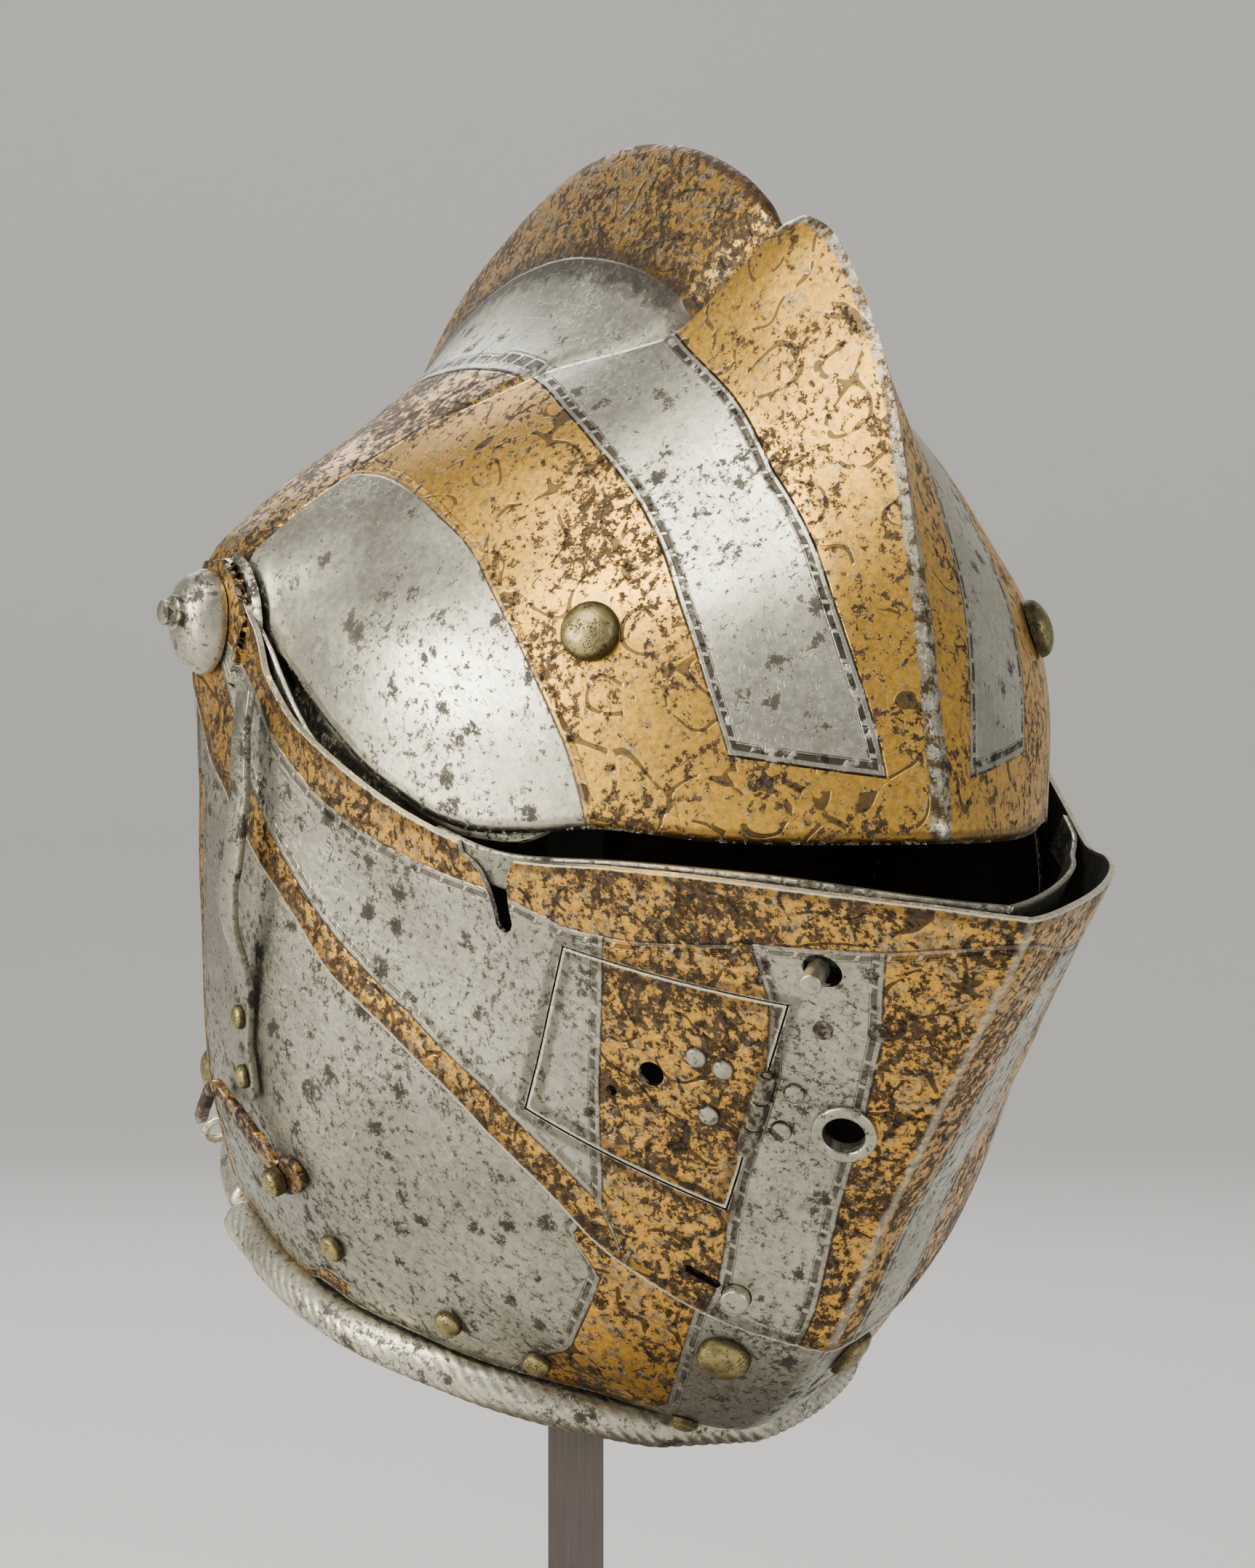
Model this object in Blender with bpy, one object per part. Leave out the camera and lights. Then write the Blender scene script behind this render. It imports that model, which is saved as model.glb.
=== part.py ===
"""Close helmet of plate steel on a plain display stand.

The helmet is modelled around the axis on which its face plates turn. A point of a
plate is given by two angles. The lift is the angle about that axis, 0 straight ahead
and 90 straight up. The turn runs across the helmet, from 0 at the pivot on the
wearer's right over 90 at the middle plane to 180 at the pivot on the wearer's left.
The wearer's left is +X and the face looks along -Y.
"""
import math

import bmesh
import bpy
import numpy as np
from mathutils import Matrix, Vector

# Driving sizes, in metres
PIVOT_HEIGHT = 0.283        # floor to the pivots
HALF_WIDTH = 0.0970         # middle plane to the skull's outside at a pivot
REACH = 0.200               # the length that the section tables share
COMB_BREADTH = 0.014        # sideways fall of the comb's flank
COMB_ROUND = 0.003          # rounding of the comb's crest
SKULL_WALL = 0.0015
BROW_WALL = 0.0015
LOWER_WALL = 0.0014
UPPER_WALL = 0.0014
SIGHT_PLATE_WALL = 0.0012
PLATE_GAP = 0.0006          # between the brow plate and the skull's own line
BEVOR_GAP = 0.0014          # between the two face plates
BROW_TUCK = 0.0026          # how much deeper the skull lies under the brow plate
BROW_NARROWING = 0.0014     # how much closer the brow plate lies near the pivots
SEAT_GAP = 0.0003           # between a piece and what it sits on
BEVOR_SPREAD = 0.0020       # how far the face plates stand wider than the skull at the pivots
PIVOT_FLAT = 0.015          # the plates are flat within this distance of the axis
PIVOT_BLEND = 0.050         # and take their full shape beyond this one

BOLT_RADIUS = 0.0032
BOLT_CLEARANCE = 0.0004
SKULL_BOLT_CLEARANCE = 0.0010
BOLT_HEAD_RADIUS = 0.0065
BOLT_HEAD_THICKNESS = 0.0020
BOLT_HEAD_SEAT = 0.0011      # from the skull's inside to the head
CAP_RADIUS = 0.0105
CAP_TAIL = 0.0045           # how far the cap's lower end is drawn out
CAP_HEIGHT = 0.0085
NUB_RADIUS = 0.0042
NUB_COLLAR = 0.0014
NUB_LENGTH = 0.0070
EYE_RADIUS = 0.0125         # round end of a face plate's arm

RIM_RADIUS = 0.0055         # roped roll around the neck
RIM_BULGE = 0.0020          # its middle line outside the plate's surface
RIM_SEAT = 0.0010           # from the roll to the edge of the lower bevor
NAPE_SEAT = 0.0012          # from the roll to the edge of the skull
RIM_BACK = -130.0           # lift at which the neck rim crosses it behind
RIM_FRONT = -72.0           # lift at which the neck rim crosses the middle plane in front
NAPE_END = -133.2           # lift at which the nape ends in the middle plane
RIM_SPLIT = -106.0          # lift at which the neck rim parts between bevor and nape
RIM_SPLIT_GAP = 1.5         # degrees

BROW_RIVET_RADIUS = 0.0072
BROW_RIVET_HEIGHT = 0.0046
CHIN_RIVET_RADIUS = 0.0066
CHIN_RIVET_HEIGHT = 0.0030
LINING_RIVET_RADIUS = 0.0036
LINING_RIVET_HEIGHT = 0.0026
LEAF_RIVET_RADIUS = 0.0026
LEAF_RIVET_HEIGHT = 0.0008

THROUGH = 0.006             # how far a cutter reaches either way from the plate's outside
DOOR_GAP = 0.0005
KNUCKLE_RADIUS = 0.0022
KNUCKLE_BORE = 0.0014
HINGE_PIN_RADIUS = 0.0011
HINGE_LENGTH = 0.0230
KNUCKLE_COUNT = 3
KNUCKLE_GAP = 0.0003
DOOR_HOLE_RADIUS = 0.0032
DOOR_PINHOLE_RADIUS = 0.0014

RING_RADIUS = 0.0078
RING_BORE = 0.0050
RING_STANDING = 0.0014
RING_LIP = 0.0012           # how far its lip covers the plate
EDGE_ROUND = 0.0006         # chamfer of turned edges
STUD_RADIUS = 0.0027
STUD_CLEARANCE = 0.0022
STUD_STANDING = 0.0060
LOWER_STUD_RADIUS = 0.0034
LOWER_STUD_STANDING = 0.0030
SLOT_WIDTH = 0.0022
SLOT_LENGTH = 0.0100
PLUG_RADIUS = 0.0024
PLUG_STANDING = 0.0004
NOTCH_WIDTH = 0.0062
NOTCH_DEPTH = 0.0150

BAR_WIDTH = 0.0085
BAR_THICKNESS = 0.0020
BAR_STANDING = 0.0060       # middle of the catch bar over the bevor
BAR_FOOT = 0.0004
BAR_RIVET_RADIUS = 0.0030
BAR_RIVET_HEIGHT = 0.0020

HOOK_WIRE_RADIUS = 0.0015
HOOK_PLATE_RADIUS = 0.0056
HOOK_PLATE_THICKNESS = 0.0030
HOOK_RIVET_RADIUS = 0.0036
HOOK_RIVET_HEIGHT = 0.0024
STAPLE_RADIUS = 0.0036       # from its middle to the middle of its wire
STAPLE_WIRE_RADIUS = 0.0011
STAPLE_LEG = 0.8            # straight legs, as a share of the radius
NAPE_RIVET_RADIUS = 0.0062
NAPE_RIVET_HEIGHT = 0.0040

BASE_LENGTH = 0.180
BASE_WIDTH = 0.160
BASE_THICKNESS = 0.008
BASE_CORNER = 0.012
POST_WIDTH = 0.0137
POST_THICKNESS = 0.0050
POST_TURN = 30.0            # degrees, towards the wearer's right
CRADLE_THICKNESS = 0.0050
CRADLE_SEAT = 0.0005        # from the skull's inside to the cradle
POST_SEAT = 0.0014          # from the post's flat end to the hollow of the cradle

# Sections of the skull by lift: reach of the middle plane as a share of REACH, and how
# full the section is across (2 is an ellipse, lower is a keel) and along.
SKULL_SECTIONS = np.array([
    # lift, reach, across, along
    (-180, 0.440, 2.10, 2.10),
    (-150, 0.540, 2.40, 2.40),
    (-130, 0.775, 3.00, 3.00),
    (-115, 0.880, 3.30, 3.30),
    (-100, 0.990, 2.40, 2.70),
    (-90, 1.080, 2.00, 2.40),
    (-70, 1.050, 1.80, 2.50),
    (-20, 0.885, 1.25, 2.20),
    (-7, 0.820, 1.30, 2.20),
    (0, 0.775, 1.40, 2.10),
    (10, 0.705, 1.50, 2.00),
    (20, 0.630, 1.65, 2.00),
    (35, 0.520, 1.90, 1.90),
    (50, 0.440, 1.90, 1.80),
    (70, 0.375, 1.90, 1.80),
    (90, 0.345, 1.90, 1.80),
    (120, 0.335, 1.95, 1.90),
    (150, 0.370, 2.00, 2.00),
    (180, 0.440, 2.10, 2.10),
])
# The comb's crest in the middle plane, as a share of REACH
CREST = np.array([
    # lift, reach
    (-60, 1.070),
    (-17, 0.885),
    (-7, 0.830),
    (0, 0.805),
    (10, 0.782),
    (20, 0.777),
    (30, 0.763),
    (36, 0.748),
    (39, 0.725),
    (43, 0.683),
    (52, 0.660),
    (60, 0.636),
    (70, 0.604),
    (80, 0.570),
    (90, 0.537),
    (100, 0.508),
    (112, 0.486),
    (125, 0.477),
    (140, 0.470),
    (180, 0.462),
    (205, 0.500),
])
# Sections of the face plates by lift
BEVOR_SECTIONS = np.array([
    # lift, reach, across, along
    (-180, 0.450, 2.10, 2.10),
    (-150, 0.550, 2.40, 2.40),
    (-130, 0.780, 3.00, 3.00),
    (-115, 0.960, 3.20, 3.30),
    (-100, 1.010, 2.40, 2.80),
    (-90, 1.085, 2.00, 2.50),
    (-78, 1.025, 2.00, 2.90),
    (-72, 1.018, 1.75, 2.90),
    (-67, 1.050, 1.50, 2.80),
    (-58, 1.040, 1.30, 2.60),
    (-54, 1.030, 1.22, 2.55),
    (-44, 0.992, 1.20, 2.50),
    (-36, 0.998, 1.20, 2.50),
    (-28, 1.022, 1.20, 2.50),
    (-18, 1.082, 1.20, 2.50),
    (-10, 1.120, 1.20, 2.50),
    (30, 1.120, 1.20, 2.50),
    (180, 0.450, 2.10, 2.10),
])
# Width of every section by height over the pivots, as shares of REACH and of the width
WIDTH_BY_HEIGHT = np.array([
    # height, width
    (-1.05, 0.98),
    (-0.85, 1.02),
    (-0.60, 1.05),
    (-0.35, 1.02),
    (-0.15, 1.02),
    (0.00, 0.98),
    (0.10, 0.90),
    (0.20, 0.83),
    (0.30, 0.76),
    (0.40, 0.70),
    (0.60, 0.62),
])
# Width of every section by distance ahead of the pivots
WIDTH_BY_DEPTH = np.array([
    # ahead, width
    (-0.60, 0.58),
    (-0.45, 0.67),
    (-0.35, 0.74),
    (-0.25, 0.81),
    (-0.15, 0.895),
    (-0.10, 0.94),
    (0.00, 0.985),
    (0.15, 1.00),
    (1.20, 1.00),
])
# Distance of the neck rim from the axis, as a share of REACH
NECK_RIM = np.array([
    # lift, distance
    (-131, 0.776),
    (-120, 0.760),
    (-110, 0.765),
    (-100, 0.790),
    (-90, 0.838),
    (-80, 0.912),
    (-74, 0.988),
    (-72, 1.018),
])
# Edge of the face opening in the skull: share of the way from the pivot to the middle
SKULL_EDGE = np.array([
    # lift, share
    (-100, 0.790),
    (-98, 0.600),
    (-95, 0.330),
    (-85, 0.170),
    (-52, 0.150),
    (-42, 0.270),
    (-35, 0.460),
    (-31.5, 0.540),
    (-28.5, 0.610),
    (-24, 0.660),
    (-17, 0.740),
    (-12, 0.860),
    (-9, 1.000),
])
# Outlines of the plates by rows from the pivot end to the middle plane. Each row gives
# the lift and the share of the way from the pivot, at the lower and at the upper edge.
BROW_ROWS = np.array([
    # lower lift, lower share, upper lift, upper share
    (-19, 0.125, 43, 0.165),
    (-25, 0.220, 51, 0.230),
    (-29, 0.310, 53, 0.340),
    (-31, 0.400, 55, 0.500),
    (-31, 0.480, 53, 0.620),
    (-30, 0.540, 48, 0.730),
    (-26.5, 0.625, 45, 0.840),
    (-22.8, 0.715, 39, 0.920),
    (-20.8, 0.830, 37, 0.952),
    (-18.8, 0.930, 39, 0.985),
    (-17.3, 1.000, 40.3, 1.000),
])
UPPER_ROWS = np.array([
    (-126, 0.088, 58, 0.070),
    (-104, 0.120, 10, 0.078),
    (-78, 0.212, -28, 0.160),
    (-68, 0.300, -31.4, 0.247),
    (-63.5, 0.372, -31, 0.330),
    (-61.5, 0.450, -30.5, 0.405),
    (-57.5, 0.557, -29.2, 0.500),
    (-56, 0.670, -27.5, 0.580),
    (-56.2, 0.760, -23.0, 0.690),
    (-57.2, 0.850, -20.4, 0.790),
    (-57, 0.920, -18.8, 0.900),
    (-56.2, 0.970, -18.2, 0.960),
    (-55.5, 1.000, -18, 1.000),
])
LOWER_ROWS = np.array([
    (-150, 0.135, 60, 0.071),
    (-122, 0.140, 0, 0.079),
    (-113, 0.220, -24, 0.150),
    (-109, 0.360, -34, 0.290),
    (-107, 0.580, -38, 0.480),
    (-106, 0.775, -40, 0.620),
    (-98, 0.778, -41, 0.690),
    (-90, 0.772, -42, 0.760),
    (-84, 0.830, -43, 0.830),
    (-78, 0.903, -44, 0.910),
    (-74, 0.950, -44.5, 0.950),
    (-71, 0.980, -44.8, 0.980),
    (-70, 1.000, -45, 1.000),
])
LOWER_RIM_ROW = 5           # from this row on the lower edge follows the neck rim
SIGHT_PLATE_ROWS = np.array([
    (-35, 0.500, -29.4, 0.490),
    (-32, 0.590, -28.0, 0.570),
    (-30, 0.700, -24.0, 0.690),
    (-27.5, 0.850, -20.4, 0.840),
    (-26.0, 1.000, -18.7, 1.000),
])
SIGHT_PLATE_DEPTH = 0.0060      # inside the face plates in front, against the upper bevor at its ends

# Corners of the breath door on the upper bevor: lift and share
DOOR_CORNERS = np.array([
    # lift, share
    (-33.4, 0.683),
    (-29.1, 0.884),
    (-48.3, 0.908),
    (-51.0, 0.719),
])
HINGE_MIDDLE = (-38.6, 0.8990)
DOOR_RIVETS = ((-36.7, 0.862), (-41.2, 0.868), (-36.8, 0.838))
FRAME_RIVETS = ((-36.1, 0.918), (-39.6, 0.921))
DOOR_HOLE = (-40.4, 0.810)
DOOR_PINHOLE = (-44.1, 0.786)
RING_PLACE = (-37.8, 0.960)
UPPER_STUD_PLACE = (-25.4, 0.893)
UPPER_STUD_HOLE = (-25.2, 0.896)
PLUG_PLACES = ((-30.0, 0.916), (-28.8, 0.951))
LOWER_STUD_PLACE = (-54.2, 0.940)
SLOT_PLACE = (-54.2, 0.912)
NOTCH_PLACE = (-29.8, 0.580)
BROW_RIVET_PLACE = (-2.4, 0.712)
CHIN_RIVET_PLACE = (-60.1, 0.963)
CHIN_FRONT_RIVET_PLACE = (-68.6, 0.985)
LINING_RIVET_PLACES = ((-82.6, 0.728), (-75.2, 0.852), (-72.2, 0.915))
BAR_PLACES = np.array([
    # lift, share, standing
    (-33.5, 0.155, 0.65),
    (-50, 0.200, 0.85),
    (-64.7, 0.270, 1.00),
    (-74, 0.340, 0.80),
    (-80, 0.405, 0.20),
    (-84, 0.450, 0.05),
    (-86, 0.500, 0.05),
    (-87, 0.540, 0.05),
])
BAR_RIVETS = ((-84.2, 0.456), (-86.3, 0.515))
HOOK_RIVET_PLACE = (-84.8, 0.634)
# The hook's wire on the lower bevor, and how far its middle stands over it
HOOK_PLACES = np.array([
    # lift, share, standing
    (-81.2, 0.646, 0.0022),
    (-85.0, 0.620, 0.0030),
    (-86.6, 0.575, 0.0036),
    (-90.2, 0.538, 0.0040),
    (-93.2, 0.530, 0.0042),
    (-95.6, 0.545, 0.0044),
    (-99.5, 0.590, 0.0046),
    (-105.0, 0.635, 0.0044),
])
NAPE_RIVET_PLACE = (-113.5, 0.700)
STAPLE_PLACE = (-109.5, 0.735)

# Grid lines of the skull, as shares of the way from the bolt to its edge
SKULL_LINES = np.array([0.0, 0.11, 0.28, 0.46, 0.64, 0.78, 0.88, 0.945, 1.0])
RING_SIDES = 20
ROUND_SIDES = 10
RIM_SIDES = 7


def smooth_curve(x, knots, column):
    """A curve through the table's knots that never overshoots them."""
    xs, ys = knots[:, 0], knots[:, column]
    step = np.diff(xs)
    rise = np.diff(ys) / step
    slope = np.zeros(len(xs))
    first, second = 2 * step[1:] + step[:-1], step[1:] + 2 * step[:-1]
    same = rise[:-1] * rise[1:] > 0
    low = np.where(same, rise[:-1], 1.0)
    high = np.where(same, rise[1:], 1.0)
    slope[1:-1] = np.where(same, (first + second) / (first / low + second / high), 0.0)
    slope[0], slope[-1] = rise[0], rise[-1]
    x = np.clip(x, xs[0], xs[-1])
    i = np.clip(np.searchsorted(xs, x) - 1, 0, len(xs) - 2)
    t = (x - xs[i]) / step[i]
    start = (1 + 2 * t) * (1 - t) ** 2 * ys[i] + t * (1 - t) ** 2 * step[i] * slope[i]
    end = t * t * (3 - 2 * t) * ys[i + 1] + t * t * (t - 1) * step[i] * slope[i + 1]
    return start + end


def ease(x, start, end):
    """0 before start, 1 after end and a smooth step between."""
    t = np.clip((x - start) / (end - start), 0, 1)
    return t * t * (3 - 2 * t)


def wrap(lift):
    """The lift between -180 and 180 degrees."""
    return (np.asarray(lift, float) + 180) % 360 - 180


def skin(sections, lift, turn, spread=0.0, comb=False):
    """Points of a plate family's outside, around the middle of the pivot axis."""
    lift, turn = np.broadcast_arrays(wrap(lift), np.asarray(turn, float))
    angle = np.radians(lift)
    reach = REACH * smooth_curve(lift, sections, 1) + spread
    across = smooth_curve(lift, sections, 2)
    along = smooth_curve(lift, sections, 3)
    side = np.where(turn <= 90, -1.0, 1.0)
    share = np.sin(np.radians(turn)).clip(0, 1)
    distance = reach * share
    half = (1 - share ** along).clip(0, 1) ** (1 / across)
    half = 1 + (half - 1) * ease(distance, EYE_RADIUS, 2 * EYE_RADIUS)
    ahead, height = distance * np.cos(angle), distance * np.sin(angle)
    scale = smooth_curve(height / REACH, WIDTH_BY_HEIGHT, 1) * smooth_curve(ahead / REACH, WIDTH_BY_DEPTH, 1)
    scale = 1 + (scale - 1) * ease(distance, PIVOT_FLAT, PIVOT_BLEND)
    out = (HALF_WIDTH + spread) * half * scale
    if comb:
        crest = REACH * smooth_curve(np.where(lift < -60, lift + 360, lift), CREST, 1) + spread
        from_crest = np.sqrt(out ** 2 + COMB_ROUND ** 2) - COMB_ROUND
        rise = np.exp(-(from_crest / COMB_BREADTH) ** 1.25) * ease(share, 0.4, 0.9)
        distance = distance + (crest - reach).clip(0) * rise
        ahead, height = distance * np.cos(angle), distance * np.sin(angle)
    return np.stack([side * out, -ahead, height], -1)


def skull_skin(lift, turn):
    """Outside of the skull with its comb."""
    return skin(SKULL_SECTIONS, lift, turn, comb=True)


def bevor_skin(lift, turn):
    """Outside of the lower bevor."""
    return skin(BEVOR_SECTIONS, lift, turn, spread=BEVOR_SPREAD)


def normals(surface, lift, turn):
    """Unit normals that point out of the helmet."""
    small = 0.05
    turn = np.clip(turn, 1.0, 179.0)
    by_lift = surface(lift + small, turn) - surface(lift - small, turn)
    by_turn = surface(lift, turn + small) - surface(lift, turn - small)
    normal = np.cross(by_turn, by_lift)
    return normal / np.linalg.norm(normal, axis=-1, keepdims=True).clip(1e-12)


def lifted(surface, lift, turn, offset):
    """Points that stand the offset off the surface."""
    lift, turn = np.broadcast_arrays(np.asarray(lift, float), np.asarray(turn, float))
    return surface(lift, turn) + np.asarray(offset, float)[..., None] * normals(surface, lift, turn)


def to_turn(share):
    """The turn, on the wearer's right, of a share of the way to the middle plane."""
    return np.degrees(np.arcsin(np.clip(share, 0, 1)))


def row_points(rows, steps_across, steps_along):
    """Lift and turn of a plate's grid: rows from the pivot end to the middle plane."""
    index = np.arange(len(rows), dtype=float)
    table = np.column_stack([index, rows])
    place = np.linspace(0, len(rows) - 1, steps_across + 1)
    low_lift, low_share, high_lift, high_share = (smooth_curve(place, table, c) for c in (1, 2, 3, 4))
    low_turn, high_turn = to_turn(low_share), to_turn(high_share)
    low = np.stack([low_turn * np.cos(np.radians(low_lift)), low_turn * np.sin(np.radians(low_lift))], -1)
    high = np.stack([high_turn * np.cos(np.radians(high_lift)), high_turn * np.sin(np.radians(high_lift))], -1)
    blend = np.linspace(0, 1, steps_along + 1)[None, :, None]
    chart = low[:, None] * (1 - blend) + high[:, None] * blend
    round_lift = np.radians(low_lift[:, None] + (high_lift - low_lift)[:, None] * blend[..., 0])
    round_turn = low_turn[:, None] + (high_turn - low_turn)[:, None] * blend[..., 0]
    arc = np.stack([round_turn * np.cos(round_lift), round_turn * np.sin(round_lift)], -1)
    wide = ease(high_lift - low_lift, 60, 120)[:, None, None]
    chart = chart * (1 - wide) + arc * wide
    turn = np.hypot(chart[..., 0], chart[..., 1])
    lift = np.degrees(np.arctan2(chart[..., 1], chart[..., 0]))
    if rows[-1, 1] > 0.999:
        turn[-1] = 90.0
        lift[-1] = np.linspace(low_lift[-1], high_lift[-1], steps_along + 1)
    return lift, turn


def eye_points(sections, spread, radius, middle_lift, opening, steps_along):
    """A row of points on a circle around the pivot, open behind by the opening."""
    lift = middle_lift + np.linspace(-180 + opening, 180 - opening, steps_along + 1)
    reach = REACH * smooth_curve(wrap(lift), sections, 1) + spread
    return lift, to_turn(radius / reach)


def material(name, colour, metallic, roughness):
    """A plain surface for one sub-part."""
    made = bpy.data.materials.new(name)
    made.use_nodes = True
    shader = made.node_tree.nodes["Principled BSDF"]
    shader.inputs["Base Color"].default_value = (*colour, 1.0)
    shader.inputs["Metallic"].default_value = metallic
    shader.inputs["Roughness"].default_value = roughness
    made.diffuse_color = (*colour, 1.0)
    return made


def add_object(name, mesh, surface_material, parent=None, smooth=True):
    """An object in the scene with its material."""
    made = bpy.data.objects.new(name, mesh)
    bpy.context.scene.collection.objects.link(made)
    mesh.materials.clear()
    mesh.materials.append(surface_material)
    if smooth:
        mesh.shade_smooth()
        mesh.set_sharp_from_angle(angle=math.radians(35))
    if parent is not None:
        made.parent = parent
    return made


def mesh_from(name, bm):
    """A mesh from a bmesh, with its faces turned outwards."""
    bmesh.ops.recalc_face_normals(bm, faces=bm.faces)
    mesh = bpy.data.meshes.new(name)
    bm.to_mesh(mesh)
    bm.free()
    return mesh


def sheet_mesh(name, grids):
    """One open sheet from grids of points, whose shared edges are merged."""
    bm = bmesh.new()
    for grid in grids:
        rows, columns = grid.shape[:2]
        verts = [[bm.verts.new(grid[i, j]) for j in range(columns)] for i in range(rows)]
        for i in range(rows - 1):
            for j in range(columns - 1):
                bm.faces.new((verts[i][j], verts[i + 1][j], verts[i + 1][j + 1], verts[i][j + 1]))
    bmesh.ops.remove_doubles(bm, verts=bm.verts, dist=0.00001)
    bmesh.ops.dissolve_degenerate(bm, edges=bm.edges, dist=0.00001)
    bmesh.ops.triangulate(bm, faces=bm.faces)
    mesh = mesh_from(name, bm)
    return mesh


def outward(mesh):
    """Turns an open sheet's faces away from the helmet's middle."""
    total = sum((face.normal.dot(face.center) * face.area for face in mesh.polygons), 0.0)
    if total < 0:
        mesh.flip_normals()


def mirrored(grid):
    """The grid on the wearer's left."""
    other = grid.copy()
    other[..., 0] *= -1
    return other


def add_plate(name, grids, wall, surface_material, parent):
    """A plate whose outside is the sheet, with its wall inwards."""
    mesh = sheet_mesh(name, grids)
    outward(mesh)
    plate = add_object(name, mesh, surface_material, parent)
    thick = plate.modifiers.new("Wall", "SOLIDIFY")
    thick.thickness = wall
    thick.offset = -1
    thick.use_even_offset = False
    return plate


def band_grid(surface, rows, offset, steps_across, steps_along, eye=None):
    """Points of a plate's right half, from the pivot end to the middle plane."""
    lift, turn = row_points(rows, steps_across, steps_along)
    if eye is not None:
        sections, spread, middle_lift = eye
        ring = []
        for radius, opening in ((BOLT_RADIUS + BOLT_CLEARANCE, 0.0), (0.75 * EYE_RADIUS, 0.0), (EYE_RADIUS, 28.0)):
            ring.append(eye_points(sections, spread, radius, middle_lift, opening, steps_along))
        lift = np.vstack([np.array([r[0] for r in ring]), lift])
        turn = np.vstack([np.array([r[1] for r in ring]), turn])
    points = lifted(surface, lift, turn, offset)
    at_middle = turn[-1] > 89.9
    points[-1, at_middle, 0] = 0.0
    return points


def frame_at(surface, lift, share, offset, left=False, upright=False):
    """A frame on the surface: Z out of it, Y the way the lift grows or straight up, X across."""
    turn = float(to_turn(share))
    origin = lifted(surface, lift, turn, offset)
    z = Vector(normals(surface, lift, turn))
    up = Vector(surface(lift + 0.5, turn) - surface(lift - 0.5, turn))
    if upright:
        up = Vector((0, 0, 1))
    x = up.cross(z).normalized()
    y = z.cross(x).normalized()
    if left:
        origin = origin * np.array((-1, 1, 1))
        x, y, z = (Vector((-v.x, v.y, v.z)) for v in (x, y, z))
        x = -x
    made = Matrix((x, y, z)).transposed().to_4x4()
    made.translation = Vector(origin)
    return made


def turned_mesh(name, profile, sides):
    """A closed solid turned about Z from a profile of (radius, height) pairs."""
    bm = bmesh.new()
    rings = []
    for radius, height in profile:
        if radius < 1e-7:
            rings.append([bm.verts.new((0, 0, height))])
            continue
        angles = [2 * math.pi * k / sides for k in range(sides)]
        rings.append([bm.verts.new((radius * math.cos(a), radius * math.sin(a), height)) for a in angles])
    for low, high in zip(rings[:-1], rings[1:]):
        for k in range(sides):
            nxt = (k + 1) % sides
            if len(low) == 1:
                bm.faces.new((low[0], high[k], high[nxt]))
            elif len(high) == 1:
                bm.faces.new((low[k], low[nxt], high[0]))
            else:
                bm.faces.new((low[k], low[nxt], high[nxt], high[k]))
    if len(rings[0]) > 1 and len(rings[-1]) > 1 and profile[0] == profile[-1]:
        bmesh.ops.remove_doubles(bm, verts=bm.verts, dist=0.000001)
    else:
        for ring in (rings[0], rings[-1]):
            if len(ring) > 1:
                bm.faces.new(ring)
    return mesh_from(name, bm)


def dome_profile(radius, height, rings=3):
    """A rivet's head: a low dome on a short straight edge."""
    edge = 0.15 * height
    profile = [(0.0, 0.0), (radius, 0.0), (radius, edge)]
    for k in range(1, rings + 1):
        angle = math.pi / 2 * k / rings
        profile.append((radius * math.cos(angle), edge + (height - edge) * math.sin(angle)))
    profile[-1] = (0.0, height)
    return profile


def add_dome(name, place, radius, height, surface_material, parent, sides=ROUND_SIDES):
    """A rivet's head at a frame."""
    mesh = turned_mesh(name, dome_profile(radius, height), sides)
    made = add_object(name, mesh, surface_material, parent)
    made.matrix_local = place
    return made


def tube_mesh(name, path, radius, sides, up=Vector((0, 0, 1))):
    """A closed round bar along a path of points."""
    points = [Vector(p) for p in path]
    bm = bmesh.new()
    rings = []
    for i, point in enumerate(points):
        ahead = points[min(i + 1, len(points) - 1)] - points[max(i - 1, 0)]
        ahead.normalize()
        side = ahead.cross(up).normalized()
        over = side.cross(ahead)
        ring = []
        for k in range(sides):
            angle = 2 * math.pi * k / sides
            ring.append(bm.verts.new(point + radius * (math.cos(angle) * side + math.sin(angle) * over)))
        rings.append(ring)
    for low, high in zip(rings[:-1], rings[1:]):
        for k in range(sides):
            nxt = (k + 1) % sides
            bm.faces.new((low[k], low[nxt], high[nxt], high[k]))
    bm.faces.new(rings[0])
    bm.faces.new(rings[-1])
    return mesh_from(name, bm)


def prism_mesh(name, outline, low, high):
    """A closed prism along Z over an outline of (x, y) pairs."""
    bm = bmesh.new()
    bottom = [bm.verts.new((x, y, low)) for x, y in outline]
    face = bm.faces.new(bottom)
    top = bmesh.ops.extrude_face_region(bm, geom=[face])
    moved = [v for v in top["geom"] if isinstance(v, bmesh.types.BMVert)]
    bmesh.ops.translate(bm, verts=moved, vec=(0, 0, high - low))
    return mesh_from(name, bm)


def circle(radius, sides, squeeze=1.0):
    """An outline with that many sides, squeezed in Y."""
    angles = [2 * math.pi * (k + 0.5) / sides for k in range(sides)]
    return [(radius * math.cos(a), squeeze * radius * math.sin(a)) for a in angles]


def slot(length, width, sides=8):
    """An outline with round ends, along X."""
    half, reach = width / 2, (length - width) / 2
    outline = []
    for centre, start in ((reach, -90), (-reach, 90)):
        for k in range(sides + 1):
            angle = math.radians(start + 180 * k / sides)
            outline.append((centre + half * math.cos(angle), half * math.sin(angle)))
    return outline


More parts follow.
